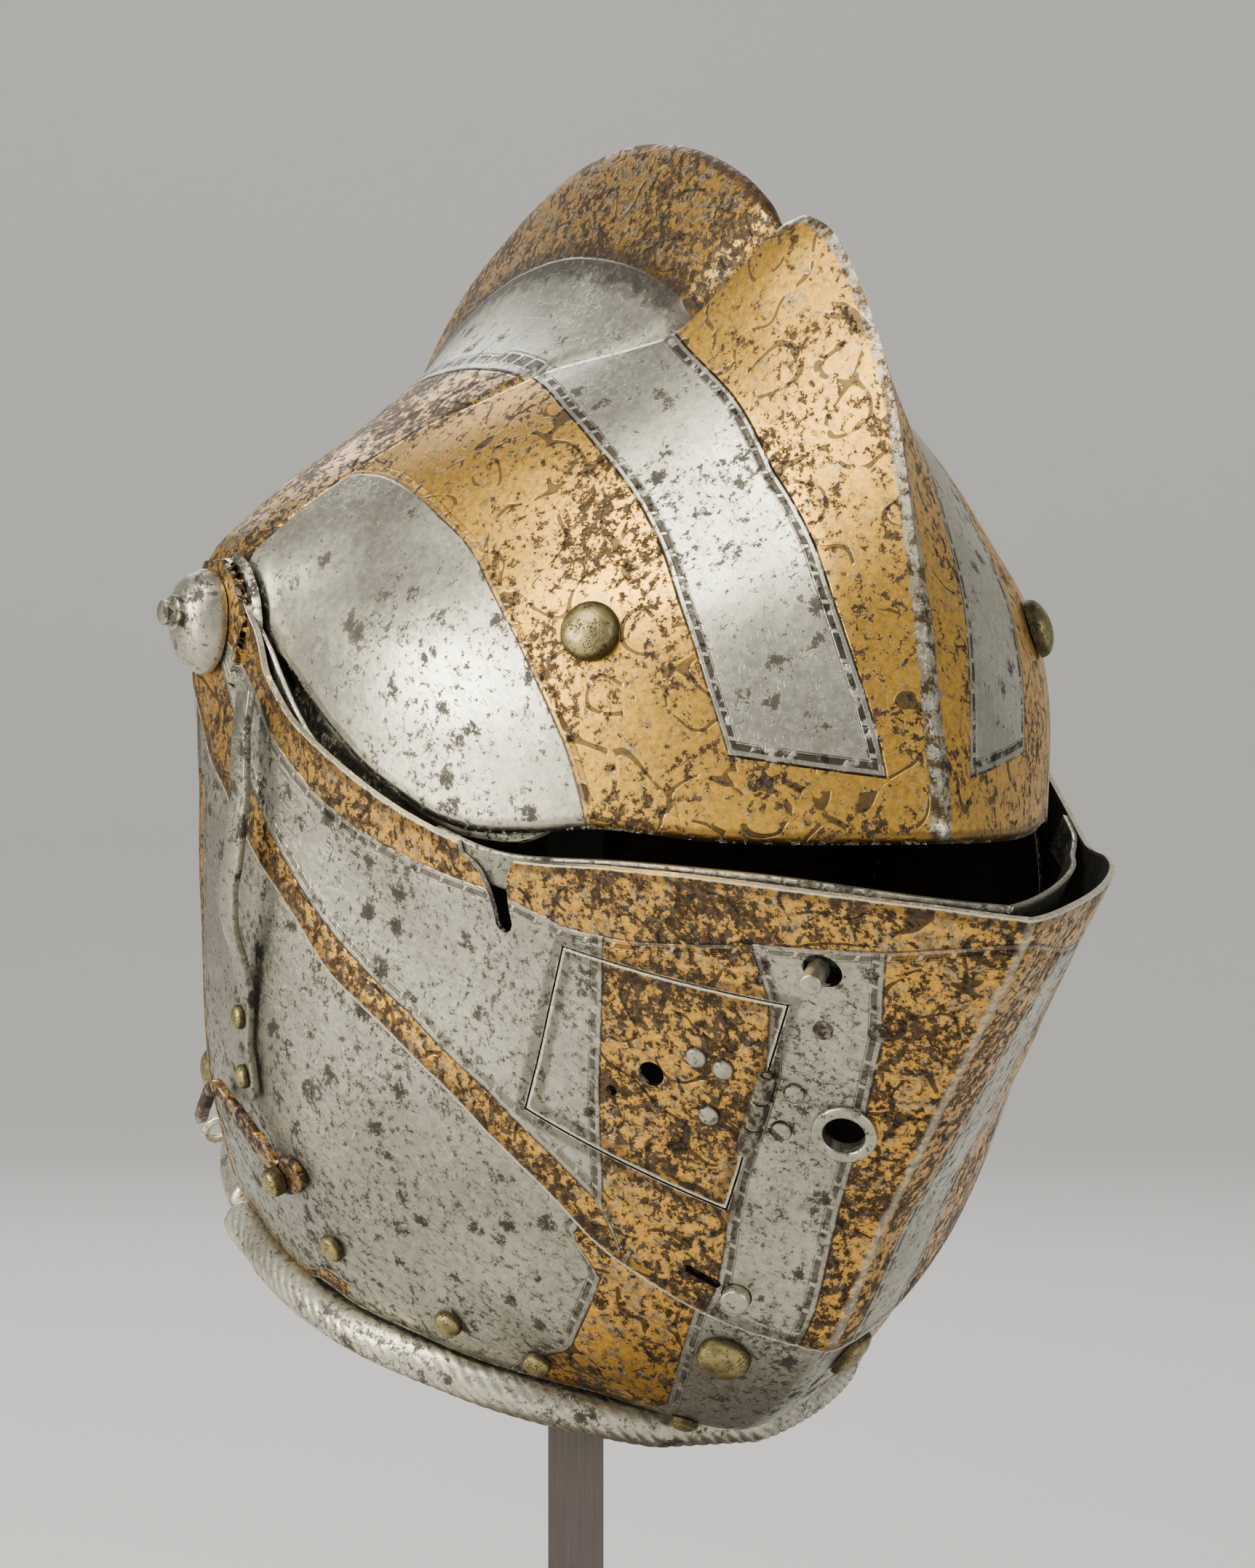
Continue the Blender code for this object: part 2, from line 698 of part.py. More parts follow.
def add_cutter(name, mesh, place, parent):
    """A guide that a Boolean cuts with."""
    made = bpy.data.objects.new(name, mesh)
    bpy.context.scene.collection.objects.link(made)
    made.parent = parent
    made.matrix_local = place
    made.hide_render = True
    made.display_type = "WIRE"
    return made


def boolean(target, cutter, operation="DIFFERENCE"):
    """Cuts the target with the cutter, or keeps what both share."""
    cut = target.modifiers.new(cutter.name, "BOOLEAN")
    cut.operation = operation
    cut.solver = "EXACT"
    cut.object = cutter
    return cut


def clear_scene():
    """Removes what the scene holds."""
    for old in list(bpy.data.objects):
        bpy.data.objects.remove(old)


def add_empty(name, place, parent=None):
    """An empty that carries pieces which move together."""
    made = bpy.data.objects.new(name, None)
    bpy.context.scene.collection.objects.link(made)
    made.parent = parent
    made.matrix_local = place
    return made


def make_materials():
    """The plain colours of the sub-parts."""
    return {
        "steel": material("steel", (0.52, 0.50, 0.44), 1.0, 0.38),
        "gilt": material("gilt_steel", (0.62, 0.42, 0.16), 1.0, 0.45),
        "dark": material("dark_steel", (0.10, 0.09, 0.08), 0.9, 0.55),
        "brass": material("brass", (0.38, 0.33, 0.15), 1.0, 0.35),
        "stand": material("stand_steel", (0.13, 0.11, 0.10), 0.3, 0.55),
    }


def over_skull(extra=0.0):
    """Offset of the brow plate's outside over the skull."""
    return PLATE_GAP + BROW_WALL + extra


def over_bevor(extra=0.0):
    """Offset of the upper bevor's outside over the lower bevor."""
    return BEVOR_GAP + UPPER_WALL + extra


def tucked_skull(lift, turn):
    """The skull's outside, sunk under the brow plate and turned round under the bevor."""
    lift, turn = np.broadcast_arrays(np.asarray(lift, float), turn)
    share = np.sin(np.radians(turn))
    seam = np.interp(share, BROW_ROWS[:, 3], BROW_ROWS[:, 2])
    under = 1 - ease(lift, seam + 1, seam + 7)
    near = 1 - ease(share, 0.15, 0.40)
    depth = under * (BROW_TUCK + BROW_NARROWING * near) * (lift > -40) * ease(share, 0.06, 0.11)
    natural = lifted(skull_skin, lift, turn, -depth)
    rear = np.interp(share, LOWER_ROWS[:6, 1], LOWER_ROWS[:6, 0])
    reach = REACH * smooth_curve(wrap(lift), SKULL_SECTIONS, 1)
    reach_rear = REACH * smooth_curve(wrap(rear), SKULL_SECTIONS, 1)
    rear_turn = to_turn(share * reach / reach_rear)
    held = skull_skin(rear, rear_turn)
    radius = np.hypot(held[..., 1], held[..., 2])
    angle = np.radians(lift)
    held = np.stack([held[..., 0], -radius * np.cos(angle), radius * np.sin(angle)], -1)
    inside = ((lift > rear) & (lift < -40)) * (1 - ease(lift, -60, -45))
    return natural + (held - natural) * inside[..., None]


def make_skull(paint, pivot):
    """The bowl with its comb and nape: two half shells around the pivots."""
    closed = np.linspace(SKULL_EDGE[-1, 0], 360 + NAPE_END, 26)
    lifts = np.concatenate([closed, np.linspace(NAPE_END + 3, SKULL_EDGE[-1, 0], 18)])
    edge = np.ones(len(lifts))
    open_part = np.arange(len(lifts)) >= len(closed)
    rim = over_rim(skull_skin, nape_path(60), lifts.clip(RIM_BACK, SKULL_EDGE[0, 0]), NAPE_SEAT)
    front = smooth_curve(lifts, SKULL_EDGE, 1)
    edge[open_part] = np.where(lifts < SKULL_EDGE[0, 0], rim, front)[open_part]
    outer = to_turn(edge)
    start = to_turn((BOLT_RADIUS + SKULL_BOLT_CLEARANCE) / (REACH * smooth_curve(wrap(lifts), SKULL_SECTIONS, 1)))
    turn = start[None, :] + (outer - start)[None, :] * SKULL_LINES[:, None]
    points = tucked_skull(lifts[None, :], turn)
    points[-1, edge > 0.9999, 0] = 0.0
    add_plate("skull", [points, mirrored(points)], SKULL_WALL, paint["steel"], pivot)


def make_brow(paint, pivot):
    """The plate over the brow, with its own length of comb, and its two rivets."""
    offset = over_skull() - BROW_NARROWING * (1 - ease(np.linspace(0, 1, 14), 0.05, 0.35))
    half = band_grid(skull_skin, BROW_ROWS, offset[:, None], 13, 10)
    add_plate("brow_plate", [half, mirrored(half)], BROW_WALL, paint["gilt"], pivot)
    for side, left in (("right", False), ("left", True)):
        place = frame_at(skull_skin, *BROW_RIVET_PLACE, over_skull(SEAT_GAP), left)
        add_dome("brow_rivet_" + side, place, BROW_RIVET_RADIUS, BROW_RIVET_HEIGHT, paint["brass"], pivot)


def rim_path(surface, sections, spread, lifts):
    """Middle line of the roped roll over the lifts, on the wearer's right."""
    reach = REACH * smooth_curve(wrap(lifts), sections, 1) + spread
    share = REACH * smooth_curve(lifts, NECK_RIM, 1) / reach
    return lifted(surface, lifts, to_turn(share), RIM_BULGE)


def over_rim(surface, path, lifts, seat):
    """Share at which a plate's edge ends just above the roped roll."""
    lifts = np.asarray(lifts, float)
    tries = np.broadcast_to(np.linspace(1.0, 0.6, 401)[:, None], (401, len(lifts)))
    points = surface(np.broadcast_to(lifts, tries.shape), to_turn(tries))
    apart = np.linalg.norm(points[:, :, None] - path[None, None], axis=-1).min(-1)
    below = np.hypot(points[..., 1], points[..., 2]) > np.hypot(path[:, 1], path[:, 2]).max() + seat
    clear = (apart > RIM_RADIUS + seat) & ~below
    blocked = np.cumsum((~clear)[::-1], axis=0)[::-1] > 0
    return tries[np.argmin(blocked, axis=0), np.arange(len(lifts))]


def nape_path(steps):
    """Middle line of the roll at the nape."""
    return rim_path(skull_skin, SKULL_SECTIONS, 0.0, np.linspace(RIM_BACK, RIM_SPLIT - RIM_SPLIT_GAP, steps))


def front_path(steps):
    """Middle line of the roll on the lower bevor."""
    along = np.linspace(1, 0, steps) ** 1.5
    return rim_path(bevor_skin, BEVOR_SECTIONS, BEVOR_SPREAD, RIM_FRONT + (RIM_SPLIT - RIM_FRONT) * along)


def make_neck_rims(paint, pivot, lower):
    """The roped rolls around the neck, one on the nape and one on the lower bevor."""
    back = nape_path(9)
    back[0, 0] = 0.0
    path = np.vstack([back[::-1], mirrored(back)[1:]])
    add_object("nape_rim", tube_mesh("nape_rim", path, RIM_RADIUS, RIM_SIDES), paint["steel"], pivot)
    front = front_path(14)
    front[-1, 0] = 0.0
    path = np.vstack([front, mirrored(front)[-2::-1]])
    add_object("lower_rim", tube_mesh("lower_rim", path, RIM_RADIUS, RIM_SIDES), paint["steel"], lower)


def make_lower_bevor(paint, lower):
    """The chin and cheek plate that turns on the pivots, with its rivets."""
    eye = (BEVOR_SECTIONS, BEVOR_SPREAD, -60.0)
    rows = LOWER_ROWS.copy()
    over = rows[:, 0] >= RIM_SPLIT
    over[:LOWER_RIM_ROW] = False
    rows[over, 1] = over_rim(bevor_skin, front_path(80), rows[over, 0], RIM_SEAT)
    rows[-1, :2] = RIM_FRONT + math.degrees((RIM_RADIUS + RIM_SEAT) / REACH), 1.0
    half = band_grid(bevor_skin, rows, 0.0, 16, 8, eye)
    add_plate("lower_bevor", [half, mirrored(half)], LOWER_WALL, paint["steel"], lower)
    for side, left in (("right", False), ("left", True)):
        place = frame_at(bevor_skin, *CHIN_RIVET_PLACE, SEAT_GAP, left)
        add_dome("chin_rivet_" + side, place, CHIN_RIVET_RADIUS, CHIN_RIVET_HEIGHT, paint["brass"], lower)
        for number, spot in enumerate(LINING_RIVET_PLACES):
            place = frame_at(bevor_skin, *spot, 2 * SEAT_GAP, left)
            name = "lining_rivet_%s_%d" % (side, number + 1)
            add_dome(name, place, LINING_RIVET_RADIUS, LINING_RIVET_HEIGHT, paint["brass"], lower, 8)
    place = frame_at(bevor_skin, *CHIN_FRONT_RIVET_PLACE, SEAT_GAP)
    add_dome("chin_front_rivet", place, LINING_RIVET_RADIUS, LINING_RIVET_HEIGHT, paint["brass"], lower, 8)


def door_outline(grow):
    """The breath door's corners in the frame at its middle, moved out by grow."""
    middle = frame_at(bevor_skin, *DOOR_CORNERS.mean(0), over_bevor())
    corners = []
    for lift, share in DOOR_CORNERS:
        point = lifted(bevor_skin, lift, float(to_turn(share)), over_bevor())
        corners.append(middle.inverted() @ Vector(point))
    flat = [Vector((c.x, c.y)) for c in corners]
    centre = sum(flat, Vector((0, 0))) / 4
    grown = []
    for i, corner in enumerate(flat):
        before, after = flat[i - 1], flat[(i + 1) % 4]
        one = (corner - before).normalized()
        two = (after - corner).normalized()
        out_one = Vector((one.y, -one.x))
        out_two = Vector((two.y, -two.x))
        if out_one.dot(corner - centre) < 0:
            out_one, out_two = -out_one, -out_two
        joint = (out_one + out_two).normalized()
        grown.append(corner + joint * (grow / joint.dot(out_one)))
    return middle, [(c.x, c.y) for c in grown]


def make_upper_bevor(paint, upper):
    """The face plate under the sight, cut for the door, the studs and the notch."""
    eye = (BEVOR_SECTIONS, BEVOR_SPREAD, -50.0)
    half = band_grid(bevor_skin, UPPER_ROWS, over_bevor(), 15, 7, eye)
    grids = [half, mirrored(half)]
    plate = add_plate("upper_bevor", grids, UPPER_WALL, paint["gilt"], upper)
    middle, outline = door_outline(DOOR_GAP)
    cuts = [("door_opening", prism_mesh("door_opening", outline, -2 * THROUGH, 2 * THROUGH), middle)]
    rounds = (("ring_hole", RING_PLACE, circle(RING_RADIUS - RING_LIP, RING_SIDES)),
              ("upper_stud_hole", UPPER_STUD_HOLE, circle(STUD_RADIUS + STUD_CLEARANCE, ROUND_SIDES, 0.85)),
              ("lower_stud_hole", LOWER_STUD_PLACE, circle(LOWER_STUD_RADIUS + SEAT_GAP, ROUND_SIDES)),
              ("stud_slot", SLOT_PLACE, slot(SLOT_LENGTH, SLOT_WIDTH, 3)),
              ("sight_notch", NOTCH_PLACE, [(y, x) for x, y in slot(2 * NOTCH_DEPTH, NOTCH_WIDTH, 6)]))
    for name, place, outline in rounds:
        mesh = prism_mesh(name, outline, -THROUGH, THROUGH)
        upright = name == "sight_notch"
        cuts.append((name, mesh, frame_at(bevor_skin, *place, over_bevor(), upright=upright)))
    for name, mesh, place in cuts:
        boolean(plate, add_cutter(name, mesh, place, upper))
    return grids


def make_sight_plate(paint, upper):
    """The plate just inside the upper bevor, below the sight."""
    back = BEVOR_GAP - SEAT_GAP
    offset = back - (SIGHT_PLATE_DEPTH + back) * ease(np.linspace(0, 1, 13), 0.15, 0.60)
    half = band_grid(bevor_skin, SIGHT_PLATE_ROWS, offset[:, None], 12, 2)
    add_plate("inner_sight_plate", [half, mirrored(half)], SIGHT_PLATE_WALL, paint["steel"], upper)


def make_door(paint, upper, grids):
    """The breath door, its hinge and the rivets of the hinge's leaves."""
    middle, outline = door_outline(0.0)
    offset = over_bevor(SEAT_GAP + KNUCKLE_RADIUS)
    hinge = frame_at(bevor_skin, *HINGE_MIDDLE, offset)
    corner = [middle @ Vector((x, y, 0.0)) for x, y in outline]
    along = (corner[1] - corner[2]).normalized()
    out = hinge.to_3x3().col[2]
    side = along.cross(out).normalized()
    axis = Matrix((side, along, side.cross(along))).transposed().to_4x4()
    axis.translation = hinge.translation
    swing = add_empty("breath_door_axis", axis, upper)
    back_home = axis.inverted()
    door = add_plate("breath_door", [grids[0]], UPPER_WALL, paint["gilt"], swing)
    door.matrix_parent_inverse = back_home
    reach_through = 2 * THROUGH
    keep = add_cutter("door_keep", prism_mesh("door_keep", outline, -reach_through, reach_through), middle, upper)
    boolean(door, keep, "INTERSECT")
    for name, spot, radius in (("door_hole", DOOR_HOLE, DOOR_HOLE_RADIUS),
                               ("door_pinhole", DOOR_PINHOLE, DOOR_PINHOLE_RADIUS)):
        mesh = prism_mesh(name, circle(radius, ROUND_SIDES), -THROUGH, THROUGH)
        boolean(door, add_cutter(name, mesh, frame_at(bevor_skin, *spot, over_bevor()), upper))
    for title, spots, parent, home in (("door_rivet_%d", DOOR_RIVETS, swing, back_home),
                                       ("frame_rivet_%d", FRAME_RIVETS, upper, Matrix.Identity(4))):
        for number, spot in enumerate(spots):
            place = home @ frame_at(bevor_skin, *spot, over_bevor(SEAT_GAP))
            add_dome(title % (number + 1), place, LEAF_RIVET_RADIUS, LEAF_RIVET_HEIGHT, paint["steel"], parent, 8)
    length = (HINGE_LENGTH - (KNUCKLE_COUNT - 1) * KNUCKLE_GAP) / KNUCKLE_COUNT
    ring = [(KNUCKLE_BORE, 0.0), (KNUCKLE_RADIUS, 0.0), (KNUCKLE_RADIUS, length), (KNUCKLE_BORE, length),
            (KNUCKLE_BORE, 0.0)]
    lying = Matrix.Rotation(math.radians(-90), 4, "X")
    for k in range(KNUCKLE_COUNT):
        start = Matrix.Translation((0, -HINGE_LENGTH / 2 + k * (length + KNUCKLE_GAP), 0)) @ lying
        name = "hinge_knuckle_%d" % (k + 1)
        on_door = k % 2 == 1
        made = add_object(name, turned_mesh(name, ring, 10), paint["dark"], swing if on_door else upper)
        made.matrix_local = start if on_door else axis @ start
    pin = [(HINGE_PIN_RADIUS, 0.0), (HINGE_PIN_RADIUS, HINGE_LENGTH)]
    made = add_object("hinge_pin", turned_mesh("hinge_pin", pin, 8), paint["steel"], upper)
    made.matrix_local = axis @ Matrix.Translation((0, -HINGE_LENGTH / 2, 0)) @ lying


def make_fittings(paint, upper):
    """The ring bush, the two studs and the plugged holes of the upper bevor."""
    low, high = -UPPER_WALL - RING_STANDING, RING_STANDING
    neck = RING_RADIUS - RING_LIP - SEAT_GAP
    ring = [(RING_BORE, low), (neck, low), (neck, SEAT_GAP), (RING_RADIUS, SEAT_GAP),
            (RING_RADIUS - EDGE_ROUND, high), (RING_BORE, high), (RING_BORE, low)]
    made = add_object("ring_bush", turned_mesh("ring_bush", ring, RING_SIDES), paint["steel"], upper)
    made.matrix_local = frame_at(bevor_skin, *RING_PLACE, over_bevor())
    stud = [(STUD_RADIUS, -UPPER_WALL), (STUD_RADIUS, STUD_STANDING - EDGE_ROUND),
            (STUD_RADIUS - EDGE_ROUND, STUD_STANDING)]
    made = add_object("upper_stud", turned_mesh("upper_stud", stud, ROUND_SIDES), paint["steel"], upper)
    made.matrix_local = frame_at(bevor_skin, *UPPER_STUD_PLACE, over_bevor())
    stud = [(LOWER_STUD_RADIUS, -UPPER_WALL), (LOWER_STUD_RADIUS, LOWER_STUD_STANDING - EDGE_ROUND),
            (LOWER_STUD_RADIUS - EDGE_ROUND, LOWER_STUD_STANDING)]
    made = add_object("lower_stud", turned_mesh("lower_stud", stud, ROUND_SIDES), paint["steel"], upper)
    made.matrix_local = frame_at(bevor_skin, *LOWER_STUD_PLACE, over_bevor())
    for number, spot in enumerate(PLUG_PLACES):
        place = frame_at(bevor_skin, *spot, over_bevor(SEAT_GAP))
        add_dome("hole_plug_%d" % (number + 1), place, PLUG_RADIUS, PLUG_STANDING, paint["dark"], upper, 8)


def make_catch_bar(paint, lower):
    """The bowed spring bar over the bevor's edge, riveted at its foot."""
    place = np.column_stack([np.arange(len(BAR_PLACES), dtype=float), BAR_PLACES])
    steps = np.linspace(0, len(BAR_PLACES) - 1, 15)
    lift, share, standing = (smooth_curve(steps, place, c) for c in (1, 2, 3))
    turn = to_turn(share)
    down = ease(steps, 3.2, 4.6)
    ground = over_bevor(BAR_FOOT) * (1 - down) + BAR_FOOT * down
    low = lifted(bevor_skin, lift, turn, ground + BAR_STANDING * standing)
    normal = normals(bevor_skin, lift, turn)
    ahead = np.gradient(low, axis=0)
    ahead /= np.linalg.norm(ahead, axis=-1, keepdims=True)
    side = np.cross(ahead, normal)
    side /= np.linalg.norm(side, axis=-1, keepdims=True)
    bm = bmesh.new()
    rings = []
    for i in range(len(low)):
        ring = []
        for across, over in ((-0.5, 0), (0.5, 0), (0.5, 1), (-0.5, 1)):
            ring.append(bm.verts.new(low[i] + across * BAR_WIDTH * side[i] + over * BAR_THICKNESS * normal[i]))
        rings.append(ring)
    for one, two in zip(rings[:-1], rings[1:]):
        for k in range(4):
            nxt = (k + 1) % 4
            bm.faces.new((one[k], one[nxt], two[nxt], two[k]))
    bm.faces.new(rings[0])
    bm.faces.new(rings[-1])
    add_object("catch_bar", mesh_from("catch_bar", bm), paint["steel"], lower, smooth=False)
    foot = BAR_STANDING * BAR_PLACES[-1, 2] + BAR_FOOT + BAR_THICKNESS
    for number, spot in enumerate(BAR_RIVETS):
        place = frame_at(bevor_skin, *spot, foot + SEAT_GAP)
        add_dome("bar_rivet_%d" % (number + 1), place, BAR_RIVET_RADIUS, BAR_RIVET_HEIGHT, paint["brass"], lower, 8)


def make_pivots(paint, pivot):
    """The bolts through the plates and the drawn-out caps over them."""
    outer = HALF_WIDTH + BEVOR_SPREAD + over_bevor(SEAT_GAP)
    inner = HALF_WIDTH - SKULL_WALL - BOLT_HEAD_SEAT
    for side, sign in (("right", -1), ("left", 1)):
        turn = Matrix.Rotation(math.radians(90) * sign, 4, "Y")
        bolt = [(BOLT_HEAD_RADIUS, inner - BOLT_HEAD_THICKNESS), (BOLT_HEAD_RADIUS, inner), (BOLT_RADIUS, inner),
                (BOLT_RADIUS, outer - SEAT_GAP)]
        mesh = turned_mesh("pivot_bolt_" + side, bolt, ROUND_SIDES)
        made = add_object("pivot_bolt_" + side, mesh, paint["dark"], pivot)
        made.matrix_local = turn
        bm = bmesh.new()
        rings = []
        sides = 12
        levels = ((1.0, 0.0), (1.0, 0.12), (0.93, 0.42), (0.76, 0.72), (0.52, 0.93))
        for share, height in levels:
            ring = []
            for k in range(sides):
                angle = 2 * math.pi * k / sides
                tail = max(0.0, -math.sin(angle)) ** 2
                radius = share * (CAP_RADIUS + CAP_TAIL * tail)
                ring.append(bm.verts.new((sign * (outer + height * CAP_HEIGHT), radius * math.cos(angle),
                                          radius * math.sin(angle))))
            rings.append(ring)
        for height, radius in ((0.96, NUB_RADIUS), (0.96 + NUB_COLLAR / CAP_HEIGHT, NUB_RADIUS),
                               (0.96 + NUB_COLLAR / CAP_HEIGHT, NUB_RADIUS * 0.72),
                               (0.96 + NUB_LENGTH * 0.6 / CAP_HEIGHT, NUB_RADIUS * 0.72)):
            ring = []
            for k in range(sides):
                angle = 2 * math.pi * k / sides
                ring.append(bm.verts.new((sign * (outer + height * CAP_HEIGHT), radius * math.cos(angle),
                                          radius * math.sin(angle))))
            rings.append(ring)
        for low, high in zip(rings[:-1], rings[1:]):
            for k in range(sides):
                nxt = (k + 1) % sides
                bm.faces.new((low[k], low[nxt], high[nxt], high[k]))
        bm.faces.new(rings[0])
        bm.faces.new(rings[-1])
        add_object("pivot_cap_" + side, mesh_from("pivot_cap_" + side, bm), paint["steel"], pivot)


def make_neck_hook(paint, pivot, lower):
    """The hook that holds the bevor to the nape, its staple and the nape's rivet."""
    seat = frame_at(bevor_skin, *HOOK_RIVET_PLACE, SEAT_GAP)
    swing = add_empty("neck_hook_axis", seat, lower)
    table = np.column_stack([np.arange(len(HOOK_PLACES), dtype=float), HOOK_PLACES])
    steps = np.linspace(0, len(HOOK_PLACES) - 1, 15)
    lift, share, standing = (smooth_curve(steps, table, c) for c in (1, 2, 3))
    path = lifted(bevor_skin, lift, to_turn(share), standing)
    to_seat = seat.inverted()
    path = [to_seat @ Vector(point) for point in path]
    hook = add_object("neck_hook", tube_mesh("neck_hook", path, HOOK_WIRE_RADIUS, 6), paint["steel"], swing)
    disc = add_cutter("hook_disc", prism_mesh("hook_disc", circle(HOOK_PLATE_RADIUS, ROUND_SIDES), 0.0,
                                              HOOK_PLATE_THICKNESS), Matrix.Identity(4), swing)
    boolean(hook, disc, "UNION")
    place = Matrix.Translation((0, 0, HOOK_PLATE_THICKNESS + HOOK_WIRE_RADIUS))
    add_dome("hook_rivet", place, HOOK_RIVET_RADIUS, HOOK_RIVET_HEIGHT, paint["brass"], swing)
    spot = frame_at(skull_skin, *NAPE_RIVET_PLACE, SEAT_GAP)
    add_dome("nape_rivet", spot, NAPE_RIVET_RADIUS, NAPE_RIVET_HEIGHT, paint["brass"], pivot)
    angles = np.linspace(0, math.pi, 9)
    loop = np.stack([STAPLE_RADIUS * np.cos(angles), 0 * angles, STAPLE_RADIUS * np.sin(angles)], -1)
    foot = STAPLE_RADIUS * np.array([(1.0, 0.0, -STAPLE_LEG)])
    loop = np.vstack([foot, loop, foot * np.array((-1, 1, 1))]) + np.array((0, 0, STAPLE_LEG * STAPLE_RADIUS))
    mesh = tube_mesh("neck_staple", loop, STAPLE_WIRE_RADIUS, 6, Vector((0, 1, 0)))
    staple = add_object("neck_staple", mesh, paint["steel"], pivot)
    staple.matrix_local = frame_at(skull_skin, *STAPLE_PLACE, SEAT_GAP)


def bare_bowl(lift, turn):
    """Outside of the skull without its comb."""
    return skin(SKULL_SECTIONS, lift, turn)


def make_stand(paint, pivot):
    """The plain base, the flat post and the cradle inside the skull."""
    half_x, half_y = BASE_WIDTH / 2, BASE_LENGTH / 2
    outline = []
    for sx, sy, start in ((1, 1, 0), (-1, 1, 90), (-1, -1, 180), (1, -1, 270)):
        for k in range(5):
            angle = math.radians(start + 90 * k / 4)
            outline.append((sx * (half_x - BASE_CORNER) + BASE_CORNER * math.cos(angle),
                            sy * (half_y - BASE_CORNER) + BASE_CORNER * math.sin(angle)))
    base = prism_mesh("stand_base", outline, 0.0, BASE_THICKNESS)
    add_object("stand_base", base, paint["stand"], smooth=False)
    crown = REACH * smooth_curve(90.0, SKULL_SECTIONS, 1) - SKULL_WALL - CRADLE_SEAT
    top = PIVOT_HEIGHT + crown - CRADLE_THICKNESS - POST_SEAT
    half_w, half_t = POST_WIDTH / 2, POST_THICKNESS / 2
    outline = [(-half_w, -half_t), (half_w, -half_t), (half_w, half_t), (-half_w, half_t)]
    post = prism_mesh("stand_post", outline, BASE_THICKNESS + SEAT_GAP, top)
    made = add_object("stand_post", post, paint["stand"], smooth=False)
    made.rotation_euler = (0, 0, math.radians(-POST_TURN))
    lifts = np.linspace(66, 118, 7)
    turns = np.linspace(52, 128, 9)
    grid_lift, grid_turn = np.meshgrid(lifts, turns, indexing="ij")
    points = lifted(bare_bowl, grid_lift, grid_turn, -SKULL_WALL - CRADLE_SEAT)
    add_plate("stand_cradle", [points], CRADLE_THICKNESS, paint["stand"], pivot)


def build():
    """The whole part."""
    clear_scene()
    paint = make_materials()
    pivot = add_empty("helmet", Matrix.Translation((0, 0, PIVOT_HEIGHT)))
    lower = add_empty("lower_bevor_axis", Matrix.Identity(4), pivot)
    upper = add_empty("upper_bevor_axis", Matrix.Identity(4), lower)
    make_stand(paint, pivot)
    make_skull(paint, pivot)
    make_brow(paint, pivot)
    make_lower_bevor(paint, lower)
    make_neck_rims(paint, pivot, lower)
    grids = make_upper_bevor(paint, upper)
    make_sight_plate(paint, upper)
    make_door(paint, upper, grids)
    make_fittings(paint, upper)
    make_catch_bar(paint, lower)
    make_pivots(paint, pivot)
    make_neck_hook(paint, pivot, lower)


build()
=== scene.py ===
"""Looks of a close helmet on its display stand: worn steel, etched and gilt bands, roped rims.

Every plate is a surface around the pivot axis. The lift is the angle about that axis, 0
straight ahead and 90 straight up. The turn runs across, from 0 at the pivot on the wearer's
right to 90 at the middle plane. The share is the sine of the turn. Lengths are in metres.
"""
import math

import bmesh
import bpy
import numpy as np
from mathutils import Matrix


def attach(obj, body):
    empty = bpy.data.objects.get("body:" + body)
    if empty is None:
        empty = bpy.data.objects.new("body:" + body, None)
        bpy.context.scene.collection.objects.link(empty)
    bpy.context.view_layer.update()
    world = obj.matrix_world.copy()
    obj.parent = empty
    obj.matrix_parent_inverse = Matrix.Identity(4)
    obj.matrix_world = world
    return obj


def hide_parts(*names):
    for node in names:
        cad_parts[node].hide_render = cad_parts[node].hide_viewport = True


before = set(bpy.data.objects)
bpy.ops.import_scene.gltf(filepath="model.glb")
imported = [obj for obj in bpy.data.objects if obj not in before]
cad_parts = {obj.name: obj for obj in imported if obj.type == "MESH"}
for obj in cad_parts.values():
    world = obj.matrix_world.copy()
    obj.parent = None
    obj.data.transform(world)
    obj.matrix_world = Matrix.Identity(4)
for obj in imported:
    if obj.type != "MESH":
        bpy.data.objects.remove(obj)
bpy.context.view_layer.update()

bl_info = {
    "name": "Close helmet dressing",
    "version": (1, 0, 0),
    "blender": (4, 5, 0),
    "location": "3D View > Sidebar > Helmet",
    "description": "Builds the worn, etched and gilt surfaces of a close helmet on its stand",
    "category": "Object",
}

# Sizes that the plates share
PIVOT_HEIGHT = 0.283
HALF_WIDTH = 0.0970
REACH = 0.200
COMB_BREADTH = 0.014
COMB_ROUND = 0.003
SKULL_WALL = 0.0015
BROW_WALL = 0.0015
LOWER_WALL = 0.0014
UPPER_WALL = 0.0014
SIGHT_PLATE_WALL = 0.0012
PLATE_GAP = 0.0006
BEVOR_GAP = 0.0014
BROW_TUCK = 0.0026
BROW_NARROWING = 0.0014
SEAT_GAP = 0.0003
BEVOR_SPREAD = 0.0020
PIVOT_FLAT = 0.015
PIVOT_BLEND = 0.050
EYE_RADIUS = 0.0125
BOLT_HOLE = 0.0036
SKULL_BOLT_HOLE = 0.0042
RIM_RADIUS = 0.0055
RIM_BULGE = 0.0020
RIM_SEAT = 0.0010
NAPE_SEAT = 0.0012
RIM_BACK = -130.0
RIM_FRONT = -72.0
NAPE_END = -133.2
RIM_SPLIT = -106.0
RIM_SPLIT_GAP = 1.5
THROUGH = 0.006
MILLIMETRES = 1000.0        # in a metre
SHARP_ANGLE = 38
NAPE_DROP = 1.3             # degrees that the bowl reaches down behind, past NAPE_END
OUTSIDE = -0.05             # a length that is well outside any band
DOOR_GAP = 0.0005
RIVET_SIDES = 36
HINGE_PLACE = (-38.6, 0.8990)
HINGE_LENGTH = 0.0230
KNUCKLE_GAP = 0.0003
